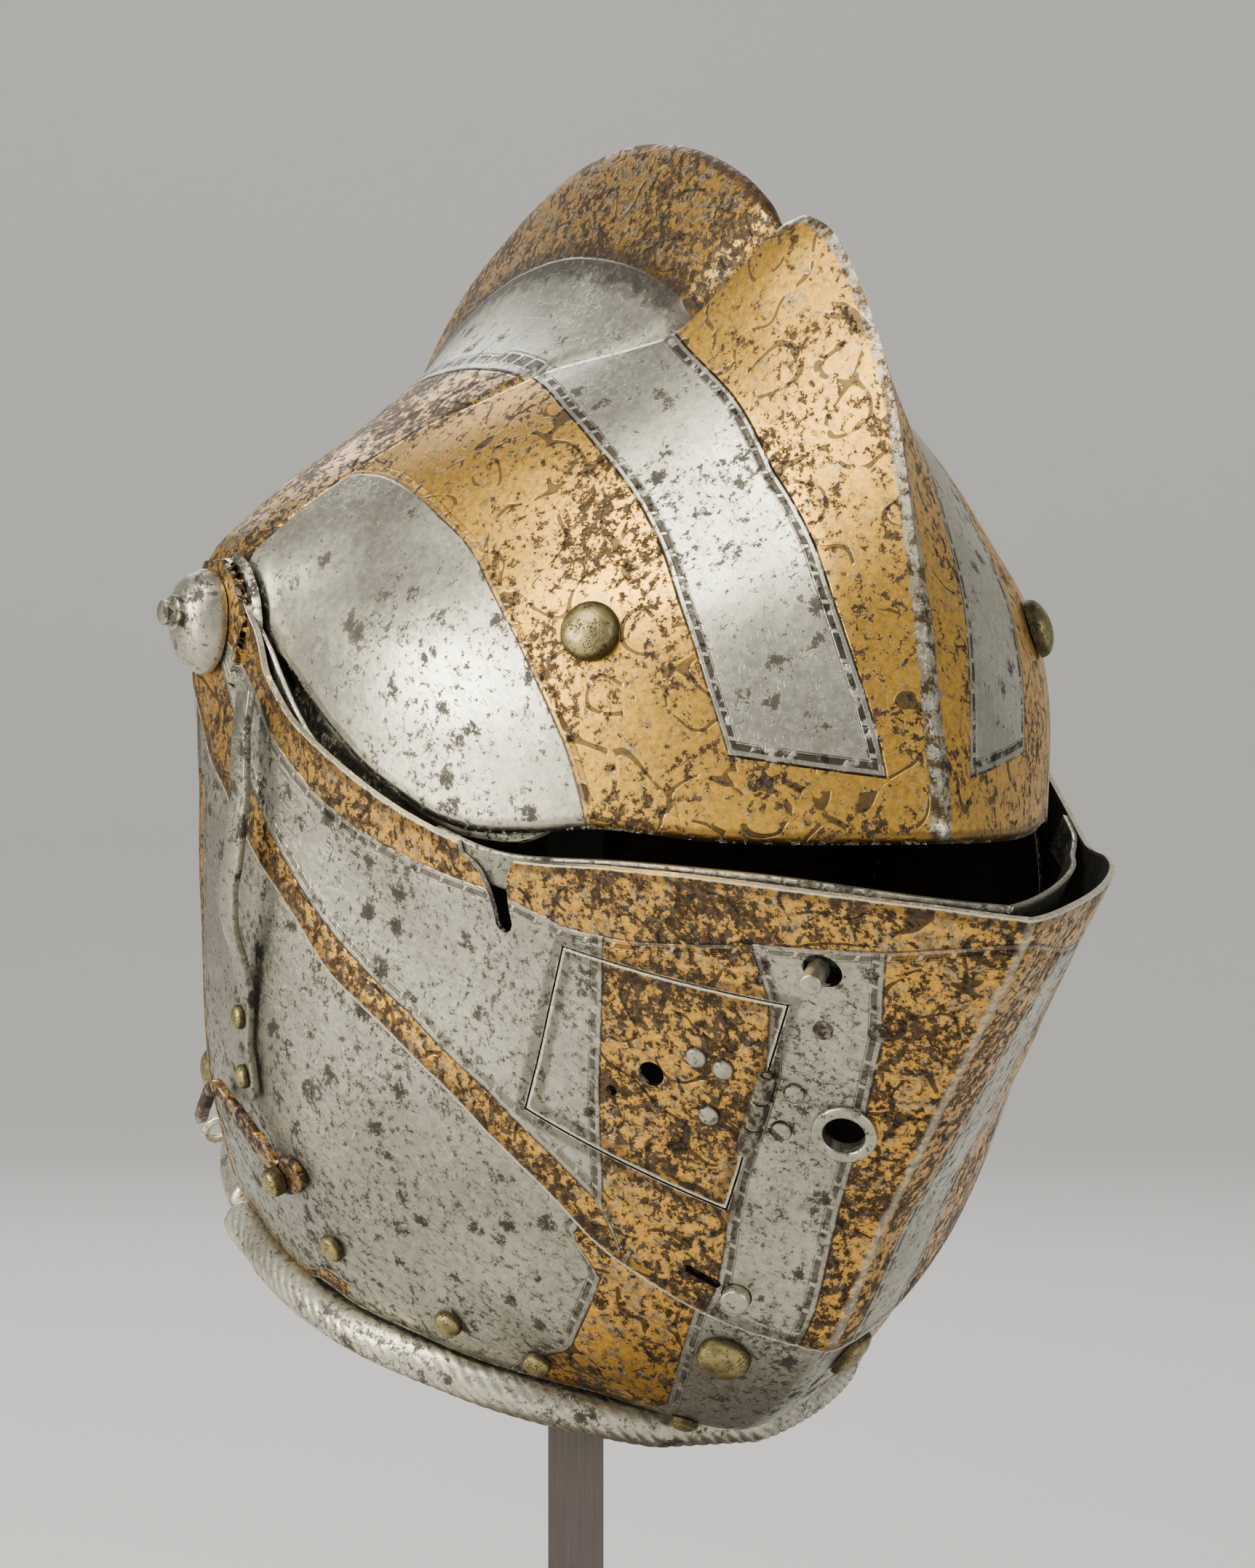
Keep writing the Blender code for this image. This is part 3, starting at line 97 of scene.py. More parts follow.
KNUCKLE_RADIUS = 0.0022
KNUCKLE_BORE = 0.0014
RING_PLACE = (-37.8, 0.960)
LOWER_STUD_PLACE = (-54.2, 0.940)
CAP_RADIUS = 0.0105
CAP_TAIL = 0.0045
CAP_HEIGHT = 0.0085
CAP_LIFT = 0.0009           # how far the cap's tail stands off the moving plate
BAR_THICKNESS = 0.0020
BAR_STANDING = 0.0060
BAR_SEAT = 0.0004
STAPLE_RADIUS = 0.0036
STAPLE_WIRE = 0.0011
# The camera, in pixels of a tall picture
PIXELS_PER_METRE = 5570
PICTURE = (1725, 2156)
PIVOT_IN_PICTURE = (791.34, 839.86)
CAMERA_DISTANCE = 2.20
CAMERA_TURN = 30            # degrees, as for the backdrop
CAMERA_TILT = 1.5
SENSOR = 36
OVER_SKULL = PLATE_GAP + BROW_WALL
OVER_BEVOR = BEVOR_GAP + UPPER_WALL

# Sections by lift: reach as a share of REACH, fullness across, fullness along
SKULL_SECTIONS = np.array([
    (-180, 0.440, 2.10, 2.10), (-150, 0.540, 2.40, 2.40), (-130, 0.775, 3.00, 3.00),
    (-115, 0.880, 3.30, 3.30), (-100, 0.990, 2.40, 2.70), (-90, 1.080, 2.00, 2.40),
    (-70, 1.050, 1.80, 2.50), (-20, 0.885, 1.25, 2.20), (-7, 0.820, 1.30, 2.20),
    (0, 0.775, 1.40, 2.10), (10, 0.705, 1.50, 2.00), (20, 0.630, 1.65, 2.00),
    (35, 0.520, 1.90, 1.90), (50, 0.440, 1.90, 1.80), (70, 0.375, 1.90, 1.80),
    (90, 0.345, 1.90, 1.80), (120, 0.335, 1.95, 1.90), (150, 0.370, 2.00, 2.00),
    (180, 0.440, 2.10, 2.10),
])
CREST = np.array([
    (-60, 1.070), (-17, 0.885), (-7, 0.830), (0, 0.805), (10, 0.782), (20, 0.777),
    (30, 0.763), (36, 0.748), (39, 0.725), (43, 0.683), (52, 0.660), (60, 0.636),
    (70, 0.604), (80, 0.570), (90, 0.537), (100, 0.508), (112, 0.486), (125, 0.477),
    (140, 0.470), (180, 0.462), (205, 0.500),
])
BEVOR_SECTIONS = np.array([
    (-180, 0.450, 2.10, 2.10), (-150, 0.550, 2.40, 2.40), (-130, 0.780, 3.00, 3.00),
    (-115, 0.960, 3.20, 3.30), (-100, 1.010, 2.40, 2.80), (-90, 1.085, 2.00, 2.50),
    (-78, 1.025, 2.00, 2.90), (-72, 1.018, 1.75, 2.90), (-67, 1.050, 1.50, 2.80),
    (-58, 1.040, 1.30, 2.60), (-54, 1.030, 1.22, 2.55), (-44, 0.992, 1.20, 2.50),
    (-36, 0.998, 1.20, 2.50), (-28, 1.022, 1.20, 2.50), (-18, 1.082, 1.20, 2.50),
    (-10, 1.120, 1.20, 2.50), (30, 1.120, 1.20, 2.50), (180, 0.450, 2.10, 2.10),
])
# Width by height over the pivots and by distance ahead of them, as shares
WIDTH_BY_HEIGHT = np.array([
    (-1.05, 0.98), (-0.85, 1.02), (-0.60, 1.05), (-0.35, 1.02), (-0.15, 1.02), (0.00, 0.98),
    (0.10, 0.90), (0.20, 0.83), (0.30, 0.76), (0.40, 0.70), (0.60, 0.62),
])
WIDTH_BY_DEPTH = np.array([
    (-0.60, 0.58), (-0.45, 0.67), (-0.35, 0.74), (-0.25, 0.81), (-0.15, 0.895),
    (-0.10, 0.94), (0.00, 0.985), (0.15, 1.00), (1.20, 1.00),
])
NECK_RIM = np.array([
    (-131, 0.776), (-120, 0.760), (-110, 0.765), (-100, 0.790), (-90, 0.838),
    (-80, 0.912), (-74, 0.988), (-72, 1.018),
])
SKULL_EDGE = np.array([
    (-100, 0.790), (-98, 0.600), (-95, 0.330), (-85, 0.170), (-52, 0.150), (-42, 0.270),
    (-35, 0.460), (-31.5, 0.540), (-28.5, 0.610), (-24, 0.660), (-17, 0.740),
    (-12, 0.860), (-9, 1.000),
])
# Outlines by rows from the pivot to the middle plane: lower lift, lower share, upper lift, upper share
BROW_ROWS = np.array([
    (-19, 0.125, 43, 0.165), (-25, 0.220, 51, 0.230), (-29, 0.310, 53, 0.340),
    (-31, 0.400, 55, 0.500), (-31, 0.480, 53, 0.620), (-30, 0.540, 48, 0.730),
    (-26.5, 0.625, 45, 0.840), (-22.8, 0.715, 39, 0.920), (-20.8, 0.830, 37, 0.952),
    (-18.8, 0.930, 39, 0.985), (-17.3, 1.000, 40.3, 1.000),
])
UPPER_ROWS = np.array([
    (-126, 0.088, 58, 0.070), (-104, 0.120, 10, 0.078), (-78, 0.212, -28, 0.160),
    (-68, 0.300, -31.4, 0.247), (-63.5, 0.372, -31, 0.330), (-61.5, 0.450, -30.5, 0.405),
    (-57.5, 0.557, -29.2, 0.500), (-56, 0.670, -27.5, 0.580), (-56.2, 0.760, -23.0, 0.690),
    (-57.2, 0.850, -20.4, 0.790), (-57, 0.920, -18.8, 0.900), (-56.2, 0.970, -18.2, 0.960),
    (-55.5, 1.000, -18, 1.000),
])
LOWER_ROWS = np.array([
    (-150, 0.135, 60, 0.071), (-122, 0.140, 0, 0.079), (-113, 0.220, -24, 0.150),
    (-109, 0.360, -34, 0.290), (-107, 0.580, -38, 0.480), (-106, 0.775, -40, 0.620),
    (-98, 0.778, -41, 0.690), (-90, 0.772, -42, 0.760), (-84, 0.830, -43, 0.830),
    (-78, 0.903, -44, 0.910), (-74, 0.950, -44.5, 0.950), (-71, 0.980, -44.8, 0.980),
    (-70, 1.000, -45, 1.000),
])
LOWER_RIM_ROW = 5
SIGHT_PLATE_ROWS = np.array([
    (-35, 0.500, -29.4, 0.490), (-32, 0.590, -28.0, 0.570), (-30, 0.700, -24.0, 0.690),
    (-27.5, 0.850, -20.4, 0.840), (-26.0, 1.000, -18.7, 1.000),
])
SIGHT_PLATE_DEPTH = 0.0060
DOOR_CORNERS = np.array([(-33.4, 0.683), (-29.1, 0.884), (-48.3, 0.908), (-51.0, 0.719)])

# Borders of the etched bands: lift and share
BROW_SIDE = np.array([
    (-30, .72), (-22.1, .691), (-15.25, .666), (-7.9, .630), (4.65, .571), (19.1, .520), (47.9, .475),
    (60, .45),
])
BROW_STRIP_OUTER = np.array([
    (-30, .86), (-13.45, .847), (-6.7, .832), (0, .823), (10, .808), (22.9, .798), (42.3, .813), (60, .82),
])
BROW_STRIP_INNER = np.array([
    (-30, .985), (-11.2, .972), (-4.5, .963), (5.8, .955), (14.2, .945), (24.7, .950), (36, .951),
    (60, .96),
])
BROW_STRIP_FOOT = -13.0
PANEL_SIDE = np.array([
    (-60, .88), (-56.1, .850), (-54.0, .819), (-48.8, .793), (-40.4, .757), (-30.9, .717), (-20, .68),
])
STRIP_OUTER = np.array([
    (-60, .935), (-54.2, .925), (-49.9, .914), (-43.8, .905), (-35, .893), (-29.6, .872), (-25.1, .838),
    (-10, .80),
])
STRIP_INNER = np.array([
    (-60, .992), (-52.4, .987), (-45.5, .980), (-36.9, .969), (-29.5, .956), (-22.3, .931), (-10, .90),
])
CHIN_SIDE = np.array([(-90, .96), (-71.9, .915), (-65, .880), (-60.1, .859), (-58.5, .817), (-50, .80)])
CHIN_FRONT = np.array([(-90, .99), (-67.1, .966), (-61.3, .940), (-56.9, .923), (-50, .91)])
# Share and lift
TOP_BAND = np.array([
    (0, -34), (.16, -39), (.225, -42.1), (.318, -41.1), (.417, -37.9), (.505, -34.8), (.579, -32.3),
    (.619, -31.6), (.678, -31.2), (.737, -29.3), (.838, -24.9), (.931, -22.3), (.996, -19.8), (1.0, -19.7),
])
FOOT_BAND = np.array([
    (0, -64), (.286, -60.2), (.424, -57.2), (.558, -53.5), (.675, -52.5), (.756, -53.0), (.811, -53.8),
    (.86, -57), (1.0, -75),
])


# Surfaces

def smooth_curve(x, knots, column):
    """A cubic through the table's knots whose slopes never overshoot them."""
    xs, ys = knots[:, 0], knots[:, column]
    step = np.diff(xs)
    rise = np.diff(ys) / step
    slope = np.zeros(len(xs))
    first, second = 2 * step[1:] + step[:-1], step[1:] + 2 * step[:-1]
    same = rise[:-1] * rise[1:] > 0
    low = np.where(same, rise[:-1], 1.0)
    high = np.where(same, rise[1:], 1.0)
    slope[1:-1] = np.where(same, (first + second) / (first / low + second / high), 0.0)
    slope[0], slope[-1] = rise[0], rise[-1]
    x = np.clip(x, xs[0], xs[-1])
    i = np.clip(np.searchsorted(xs, x) - 1, 0, len(xs) - 2)
    t = (x - xs[i]) / step[i]
    start = (1 + 2 * t) * (1 - t) ** 2 * ys[i] + t * (1 - t) ** 2 * step[i] * slope[i]
    end = t * t * (3 - 2 * t) * ys[i + 1] + t * t * (t - 1) * step[i] * slope[i + 1]
    return start + end


def ease(x, start, end):
    """0 before start, 1 after end, and three squares less two cubes of the way between."""
    t = np.clip((x - start) / (end - start), 0, 1)
    return t * t * (3 - 2 * t)


def wrap(lift):
    """The lift between -180 and 180 degrees."""
    return (np.asarray(lift, float) + 180) % 360 - 180


def skin(sections, lift, turn, spread=0.0, comb=False):
    """Distance from the axis is reach times share. The half width is the width times
    (1 - share^along)^(1/across), less where the helmet narrows up, down and behind. A comb
    raises the distance by an exponential of the way from the crest."""
    lift, turn = np.broadcast_arrays(wrap(lift), np.asarray(turn, float))
    angle = np.radians(lift)
    reach = REACH * smooth_curve(lift, sections, 1) + spread
    across = smooth_curve(lift, sections, 2)
    along = smooth_curve(lift, sections, 3)
    side = np.where(turn <= 90, -1.0, 1.0)
    share = np.sin(np.radians(turn)).clip(0, 1)
    distance = reach * share
    half = (1 - share ** along).clip(0, 1) ** (1 / across)
    half = 1 + (half - 1) * ease(distance, EYE_RADIUS, 2 * EYE_RADIUS)
    ahead, height = distance * np.cos(angle), distance * np.sin(angle)
    scale = smooth_curve(height / REACH, WIDTH_BY_HEIGHT, 1)
    scale = scale * smooth_curve(ahead / REACH, WIDTH_BY_DEPTH, 1)
    scale = 1 + (scale - 1) * ease(distance, PIVOT_FLAT, PIVOT_BLEND)
    out = (HALF_WIDTH + spread) * half * scale
    if comb:
        crest = REACH * smooth_curve(np.where(lift < -60, lift + 360, lift), CREST, 1) + spread
        from_crest = np.sqrt(out ** 2 + COMB_ROUND ** 2) - COMB_ROUND
        rise = np.exp(-(from_crest / COMB_BREADTH) ** 1.25) * ease(share, 0.4, 0.9)
        distance = distance + (crest - reach).clip(0) * rise
        ahead, height = distance * np.cos(angle), distance * np.sin(angle)
    return np.stack([side * out, -ahead, height], -1)


def skull_skin(lift, turn):
    """Outside of the skull with its comb."""
    return skin(SKULL_SECTIONS, lift, turn, comb=True)


def bevor_skin(lift, turn):
    """Outside of the lower bevor."""
    return skin(BEVOR_SECTIONS, lift, turn, spread=BEVOR_SPREAD)


def normals(surface, lift, turn):
    """Unit cross product of the surface's steps by turn and by lift."""
    small = 0.05
    turn = np.clip(turn, 1.0, 179.0)
    by_lift = surface(lift + small, turn) - surface(lift - small, turn)
    by_turn = surface(lift, turn + small) - surface(lift, turn - small)
    normal = np.cross(by_turn, by_lift)
    return normal / np.linalg.norm(normal, axis=-1, keepdims=True).clip(1e-12)


def lifted(surface, lift, turn, offset):
    """The surface moved out along its normals by the offset."""
    lift, turn = np.broadcast_arrays(np.asarray(lift, float), np.asarray(turn, float))
    return surface(lift, turn) + np.asarray(offset, float)[..., None] * normals(surface, lift, turn)


def to_turn(share):
    """The turn whose sine is the share."""
    return np.degrees(np.arcsin(np.clip(share, 0, 1)))


def from_axis(points):
    """Distance of points from the pivot axis."""
    return np.hypot(points[..., 1], points[..., 2])


def unit(vectors):
    """The vectors at length one."""
    return vectors / np.linalg.norm(vectors, axis=-1, keepdims=True)


def flat_place(lift, turn):
    """The chart's point whose radius is the turn and whose angle is the lift."""
    return np.stack([turn * np.cos(np.radians(lift)), turn * np.sin(np.radians(lift))], -1)


def row_points(rows, steps_across, steps_along):
    """Lift and turn of a plate's grid. Each row runs straight between its two ends on a
    chart where the turn is the radius and the lift the angle, or along an arc when wide."""
    table = np.column_stack([np.arange(len(rows), dtype=float), rows])
    place = np.linspace(0, len(rows) - 1, steps_across + 1)
    low_lift, low_share, high_lift, high_share = (smooth_curve(place, table, c) for c in (1, 2, 3, 4))
    low_turn, high_turn = to_turn(low_share), to_turn(high_share)
    low, high = flat_place(low_lift, low_turn), flat_place(high_lift, high_turn)
    blend = np.linspace(0, 1, steps_along + 1)[None, :, None]
    chart = low[:, None] * (1 - blend) + high[:, None] * blend
    arc = flat_place(low_lift[:, None] + (high_lift - low_lift)[:, None] * blend[..., 0],
                     low_turn[:, None] + (high_turn - low_turn)[:, None] * blend[..., 0])
    wide = ease(high_lift - low_lift, 60, 120)[:, None, None]
    chart = chart * (1 - wide) + arc * wide
    turn = np.hypot(chart[..., 0], chart[..., 1])
    lift = np.degrees(np.arctan2(chart[..., 1], chart[..., 0]))
    turn[-1] = 90.0
    lift[-1] = np.linspace(low_lift[-1], high_lift[-1], steps_along + 1)
    return lift, turn


def eye_rows(middle_lift, steps_along):
    """Rings around the pivot, from the bolt's hole to the round end of the plate's arm."""
    lifts, turns = [], []
    ring = 0.75 * EYE_RADIUS
    radii = (BOLT_HOLE, 0.5 * (BOLT_HOLE + ring), ring, EYE_RADIUS)
    for radius, opening in zip(radii, (0.0, 0.0, 0.0, 28.0)):
        lift = middle_lift + np.linspace(-180 + opening, 180 - opening, steps_along + 1)
        reach = REACH * smooth_curve(wrap(lift), BEVOR_SECTIONS, 1) + BEVOR_SPREAD
        lifts.append(lift)
        turns.append(to_turn(radius / reach))
    return np.array(lifts), np.array(turns)


def tucked_skull(lift, turn):
    """The skull's outside, sunk under the brow plate and turned round under the bevor."""
    lift, turn = np.broadcast_arrays(np.asarray(lift, float), turn)
    share = np.sin(np.radians(turn))
    seam = np.interp(share, BROW_ROWS[:, 3], BROW_ROWS[:, 2])
    under = 1 - ease(lift, seam + 1, seam + 7)
    near = 1 - ease(share, 0.15, 0.40)
    depth = under * (BROW_TUCK + BROW_NARROWING * near) * (lift > -40) * ease(share, 0.06, 0.11)
    natural = lifted(skull_skin, lift, turn, -depth)
    rear = np.interp(share, LOWER_ROWS[:6, 1], LOWER_ROWS[:6, 0])
    reach = REACH * smooth_curve(wrap(lift), SKULL_SECTIONS, 1)
    reach_rear = REACH * smooth_curve(wrap(rear), SKULL_SECTIONS, 1)
    held = skull_skin(rear, to_turn(share * reach / reach_rear))
    radius = from_axis(held)
    angle = np.radians(lift)
    held = np.stack([held[..., 0], -radius * np.cos(angle), radius * np.sin(angle)], -1)
    inside = ((lift > rear) & (lift < -40)) * (1 - ease(lift, -60, -45))
    return natural + (held - natural) * inside[..., None]


def rim_path(surface, sections, spread, lifts):
    """Middle line of the roped roll: the surface where its distance is the neck rim's."""
    reach = REACH * smooth_curve(wrap(lifts), sections, 1) + spread
    share = REACH * smooth_curve(lifts, NECK_RIM, 1) / reach
    return lifted(surface, lifts, to_turn(share), RIM_BULGE)


def over_rim(surface, path, lifts, seat):
    """Share at which a plate's edge ends just above the roped roll."""
    lifts = np.asarray(lifts, float)
    tries = np.broadcast_to(np.linspace(1.0, 0.6, 401)[:, None], (401, len(lifts)))
    points = surface(np.broadcast_to(lifts, tries.shape), to_turn(tries))
    apart = np.linalg.norm(points[:, :, None] - path[None, None], axis=-1).min(-1)
    below = from_axis(points) > from_axis(path).max() + seat
    clear = (apart > RIM_RADIUS + seat) & ~below
    blocked = np.cumsum((~clear)[::-1], axis=0)[::-1] > 0
    return tries[np.argmin(blocked, axis=0), np.arange(len(lifts))]


def nape_path(steps):
    """Middle line of the roll at the nape."""
    lifts = np.linspace(RIM_BACK, RIM_SPLIT - RIM_SPLIT_GAP, steps)
    return rim_path(skull_skin, SKULL_SECTIONS, 0.0, lifts)


def front_path(steps):
    """Middle line of the roll on the lower bevor."""
    along = np.linspace(1, 0, steps) ** 1.5
    return rim_path(bevor_skin, BEVOR_SECTIONS, BEVOR_SPREAD, RIM_FRONT + (RIM_SPLIT - RIM_FRONT) * along)


def across_from(surface, lift, turn, border, column=1):
    """Length along the surface from the border's turn at the same lift, positive inwards."""
    edge = to_turn(np.interp(lift, border[:, 0], border[:, column]))
    gap = np.linalg.norm(surface(lift, turn) - surface(lift, edge), axis=-1)
    return np.sign(turn - edge) * gap


def above(points, lift, turn, border):
    """Length about the axis from the border's lift at the same share, positive upwards."""
    edge = np.interp(np.sin(np.radians(turn)), border[:, 0], border[:, 1])
    return from_axis(points) * np.radians(lift - edge)


def edge_lengths(points):
    """Length from each point of a grid to the ends of its row."""
    low = np.linalg.norm(points - points[:, :1], axis=-1)
    high = np.linalg.norm(points - points[:, -1:], axis=-1)
    return np.stack([low, high], -1)


def run_of(path):
    """Length along the path to each of its points."""
    return np.concatenate([[0], np.cumsum(np.linalg.norm(np.diff(path, axis=0), axis=-1))])


def running(surface, lift, turn):
    """Length across from the middle plane, and length along it by lift at share 0.85."""
    part = np.linspace(0, 1, 17)
    turns = turn[..., None] + (90 - turn[..., None]) * part
    line = surface(np.broadcast_to(lift[..., None], turns.shape), turns)
    across = np.linalg.norm(np.diff(line, axis=-2), axis=-1).sum(-1)
    knots = np.linspace(-180, 180, 361)
    spine = surface(knots, to_turn(0.85 + 0 * knots))
    return np.stack([across, np.interp(lift, knots, run_of(spine))], -1)


# Meshes

def grid_mesh(name, grids, maps=(), wrap_columns=False, closed=False, smooth=True):
    """One mesh from grids of points. Each square joins four neighbours, and points that meet are
    merged. A map is a name and one pair of numbers for each point, kept at the faces' corners."""
    verts, faces = [], []
    start = 0
    for grid in grids:
        rows, columns = grid.shape[:2]
        index = start + np.arange(rows * columns).reshape(rows, columns)
        if wrap_columns:
            index = np.concatenate([index, index[:, :1]], 1)
        quads = np.stack([index[:-1, :-1], index[1:, :-1], index[1:, 1:], index[:-1, 1:]], -1)
        verts.append(grid.reshape(-1, 3))
        faces.append(quads.reshape(-1, 4))
        start += rows * columns
    verts, faces = np.concatenate(verts), np.concatenate(faces)
    mesh = bpy.data.meshes.new(name)
    mesh.from_pydata((verts + (0, 0, PIVOT_HEIGHT)).tolist(), [], faces.tolist())
    for key, values in maps:
        layer = mesh.uv_layers.new(name=key)
        flat = np.concatenate([v.reshape(-1, 2) for v in values]).astype(np.float32)
        layer.data.foreach_set("uv", flat[faces.reshape(-1)].reshape(-1))
    bm = bmesh.new()
    bm.from_mesh(mesh)
    bmesh.ops.remove_doubles(bm, verts=bm.verts, dist=0.000005)
    bmesh.ops.dissolve_degenerate(bm, edges=bm.edges, dist=0.000002)
    bmesh.ops.recalc_face_normals(bm, faces=bm.faces)
    if not closed:
        middle = np.array((0, 0, PIVOT_HEIGHT))
        facing = sum(np.dot(f.normal, np.array(f.calc_center_median()) - middle) * f.calc_area()
                     for f in bm.faces)
        if facing < 0:
            bmesh.ops.reverse_faces(bm, faces=bm.faces)
    bm.to_mesh(mesh)
    bm.free()
    if smooth:
        mesh.shade_smooth()
        mesh.set_sharp_from_angle(angle=math.radians(SHARP_ANGLE))
    return mesh


def closed_mesh(name, grid, maps=(), smooth=True):
    """A mesh of one grid whose columns join round."""
    return grid_mesh(name, [grid], maps, wrap_columns=True, closed=True, smooth=smooth)


def linked(name, data, matrix=None):
    """An object in the scene."""
    made = bpy.data.objects.new(name, data)
    bpy.context.scene.collection.objects.link(made)
    if matrix is not None:
        made.matrix_world = Matrix(matrix.tolist())
    return made


def add_piece(name, mesh, surface_material, body, node):
    """An object for the mesh that rides on a body and stands for a CAD node."""
    mesh.materials.clear()
    mesh.materials.append(surface_material)
    piece = linked(name, mesh)
    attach(piece, body)
    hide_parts(node)
    return piece


def settled(piece, cutters=()):
    """Writes the piece's modifiers into its mesh and removes the cutters."""
    bpy.context.view_layer.update()
    graph = bpy.context.evaluated_depsgraph_get()
    made = bpy.data.meshes.new_from_object(
        piece.evaluated_get(graph), preserve_all_data_layers=True, depsgraph=graph)
    piece.modifiers.clear()
    old, piece.data = piece.data, made
    bpy.data.meshes.remove(old)
    for cutter in cutters:
        bpy.data.objects.remove(cutter)
    made.shade_smooth()
    made.set_sharp_from_angle(angle=math.radians(SHARP_ANGLE))


def wall(piece, thickness):
    """Gives a sheet its wall inwards."""
    thick = piece.modifiers.new("Wall", "SOLIDIFY")
    thick.thickness = thickness
    thick.offset = -1
    thick.use_even_offset = False


def add_plate(name, grids, maps, finish, thickness, body, node):
    """A piece from a sheet, with its wall inwards."""
    piece = add_piece(name, grid_mesh(name, grids, maps), finish, body, node)
    wall(piece, thickness)
    return piece


def both(grid):
    """A right half and its mirror image."""
    return [grid, grid * np.array((-1, 1, 1))]


def twice(values):
    """The same map for both halves."""
    return [values, values]


def axes(x, y, z, origin):
    """The matrix of a frame."""
    made = np.eye(4)
    made[:3, 0], made[:3, 1], made[:3, 2], made[:3, 3] = x, y, z, origin
    return made


def frame_at(surface, lift, share, offset, left=False, upright=False):
    """A frame on the surface: Z out of it, Y the way the lift grows or straight up, X across."""
    turn = float(to_turn(share))
    origin = lifted(surface, lift, turn, offset)
    z = normals(surface, np.float64(lift), np.float64(turn))
    up = surface(lift + 0.5, turn) - surface(lift - 0.5, turn)
    if upright:
        up = np.array((0.0, 0.0, 1.0))
    x = unit(np.cross(up, z))
    y = np.cross(z, x)
    if left:
        origin, x, y, z = (v * np.array((-1, 1, 1)) for v in (origin, x, y, z))
        x = -x
    return axes(x, y, z, origin)


def placed(points, place):
    """Points taken from a frame to the helmet."""
    return points @ place[:3, :3].T + place[:3, 3]


def turned(profile, sides):
    """A profile of radius and height, turned about Z."""
    profile = np.asarray(profile, float)
    angles = 2 * np.pi * np.arange(sides) / sides
    ring = np.stack([np.cos(angles), np.sin(angles)], -1)
    flat = profile[:, None, :1] * ring[None]
    return np.concatenate([flat, np.broadcast_to(profile[:, None, 1:], flat.shape[:2] + (1,))], -1)


def swept(path, outline, up):
    """An outline of across and over, carried along a path. Its end faces close to a point."""
    ahead = unit(np.gradient(path, axis=0))
    side = unit(np.cross(ahead, up))
    over = np.cross(side, ahead)
    shape = np.broadcast_to(outline, (len(path),) + outline.shape[-2:])
    body = path[:, None] + shape[..., :1] * side[:, None] + shape[..., 1:] * over[:, None]
    return np.concatenate([path[:1, None] + 0 * body[:1], body, path[-1:, None] + 0 * body[:1]])


def resampled(table, steps):
    """The table's columns at that many even steps along it."""
    table = np.asarray(table, float)
    knots = np.column_stack([np.arange(len(table), dtype=float), table])
    place = np.linspace(0, len(table) - 1, steps)
    return [smooth_curve(place, knots, column + 1) for column in range(table.shape[1])], place


def prism(outline, low, high):
    """A closed prism along Z over an outline of x and y."""
    outline = np.asarray(outline, float)
    centre = outline.mean(0)
    middle = centre + 0 * outline
    levels = ((middle, low), (outline, low), (outline, high), (middle, high))
    return np.array([np.column_stack([flat, height + 0 * outline[:, 0]]) for flat, height in levels])


def circle(radius, sides, squeeze=1.0):
    """An outline with that many sides, squeezed in Y."""
    angles = 2 * np.pi * (np.arange(sides) + 0.5) / sides
    return np.stack([radius * np.cos(angles), squeeze * radius * np.sin(angles)], -1)


def slot_outline(length, width):
    """An outline with round ends, along X."""
    half, reach = width / 2, (length - width) / 2
    angles = np.radians(np.linspace(-90, 90, 11))
    end = np.stack([reach + half * np.cos(angles), half * np.sin(angles)], -1)
    return np.concatenate([end, -end])


def notch_outline():
    """A notch with a round foot and a mouth that opens upwards. Height and half width by hand."""
    table = np.array([
        (-0.0148, 0.0006), (-0.0142, 0.0016), (-0.0128, 0.0024), (-0.0090, 0.0024), (-0.0040, 0.0030),
        (0.0000, 0.0044), (0.0024, 0.0064), (0.0044, 0.0092), (0.0110, 0.0100)])
    return np.concatenate([table[:, ::-1], (table * (1, -1))[::-1, ::-1]])


def cut(piece, grid, operation="DIFFERENCE"):
    """Adds a Boolean with a closed cutter to the piece."""
    cutter = linked("cutter", closed_mesh("cutter", grid, smooth=False))
    cutter.hide_render = True
    made = piece.modifiers.new("Cut", "BOOLEAN")
    made.operation = operation
    made.solver = "EXACT"
    made.object = cutter
    return cutter


# Shading

class Field:
    """A number or vector that varies over a surface, held as the socket that carries it."""

    def __init__(self, net, socket):
        self.net = net
        self.socket = socket

    def math(self, operation, *others):
        return self.net.node("Math", dict(enumerate((self,) + others)), operation=operation)[0]

    def __add__(self, other):
        return self.math("ADD", other)

    def __radd__(self, other):
        return self.math("ADD", other)

    def __sub__(self, other):
        return self.math("SUBTRACT", other)

    def __rsub__(self, other):
        return (self * -1.0) + other

    def __mul__(self, other):
        return self.math("MULTIPLY", other)

    def __rmul__(self, other):
        return self.math("MULTIPLY", other)

    def __truediv__(self, other):
        return self.math("DIVIDE", other)

    def __pow__(self, other):
        return self.math("POWER", other)

    def __abs__(self):
        return self.math("ABSOLUTE")

    def part(self):
        """What is left above the whole number below."""
        return self.math("FRACT")

    def low(self, other):
        return self.math("MINIMUM", other)

    def high(self, other):
        return self.math("MAXIMUM", other)

    def step(self, start, end):
        """0 before start and 1 after end, with a smooth step between."""
        down = start > end
        low, high = (end, start) if down else (start, end)
        values = {0: self, 1: low, 2: high, 3: float(down), 4: float(not down)}
        return self.net.node("MapRange", values, interpolation_type="SMOOTHSTEP")["Result"]

    def near(self, middle, reach, soft):
        """1 within reach of the middle and 0 beyond, with a soft edge."""
        return abs(self - middle).step(reach + soft, reach)


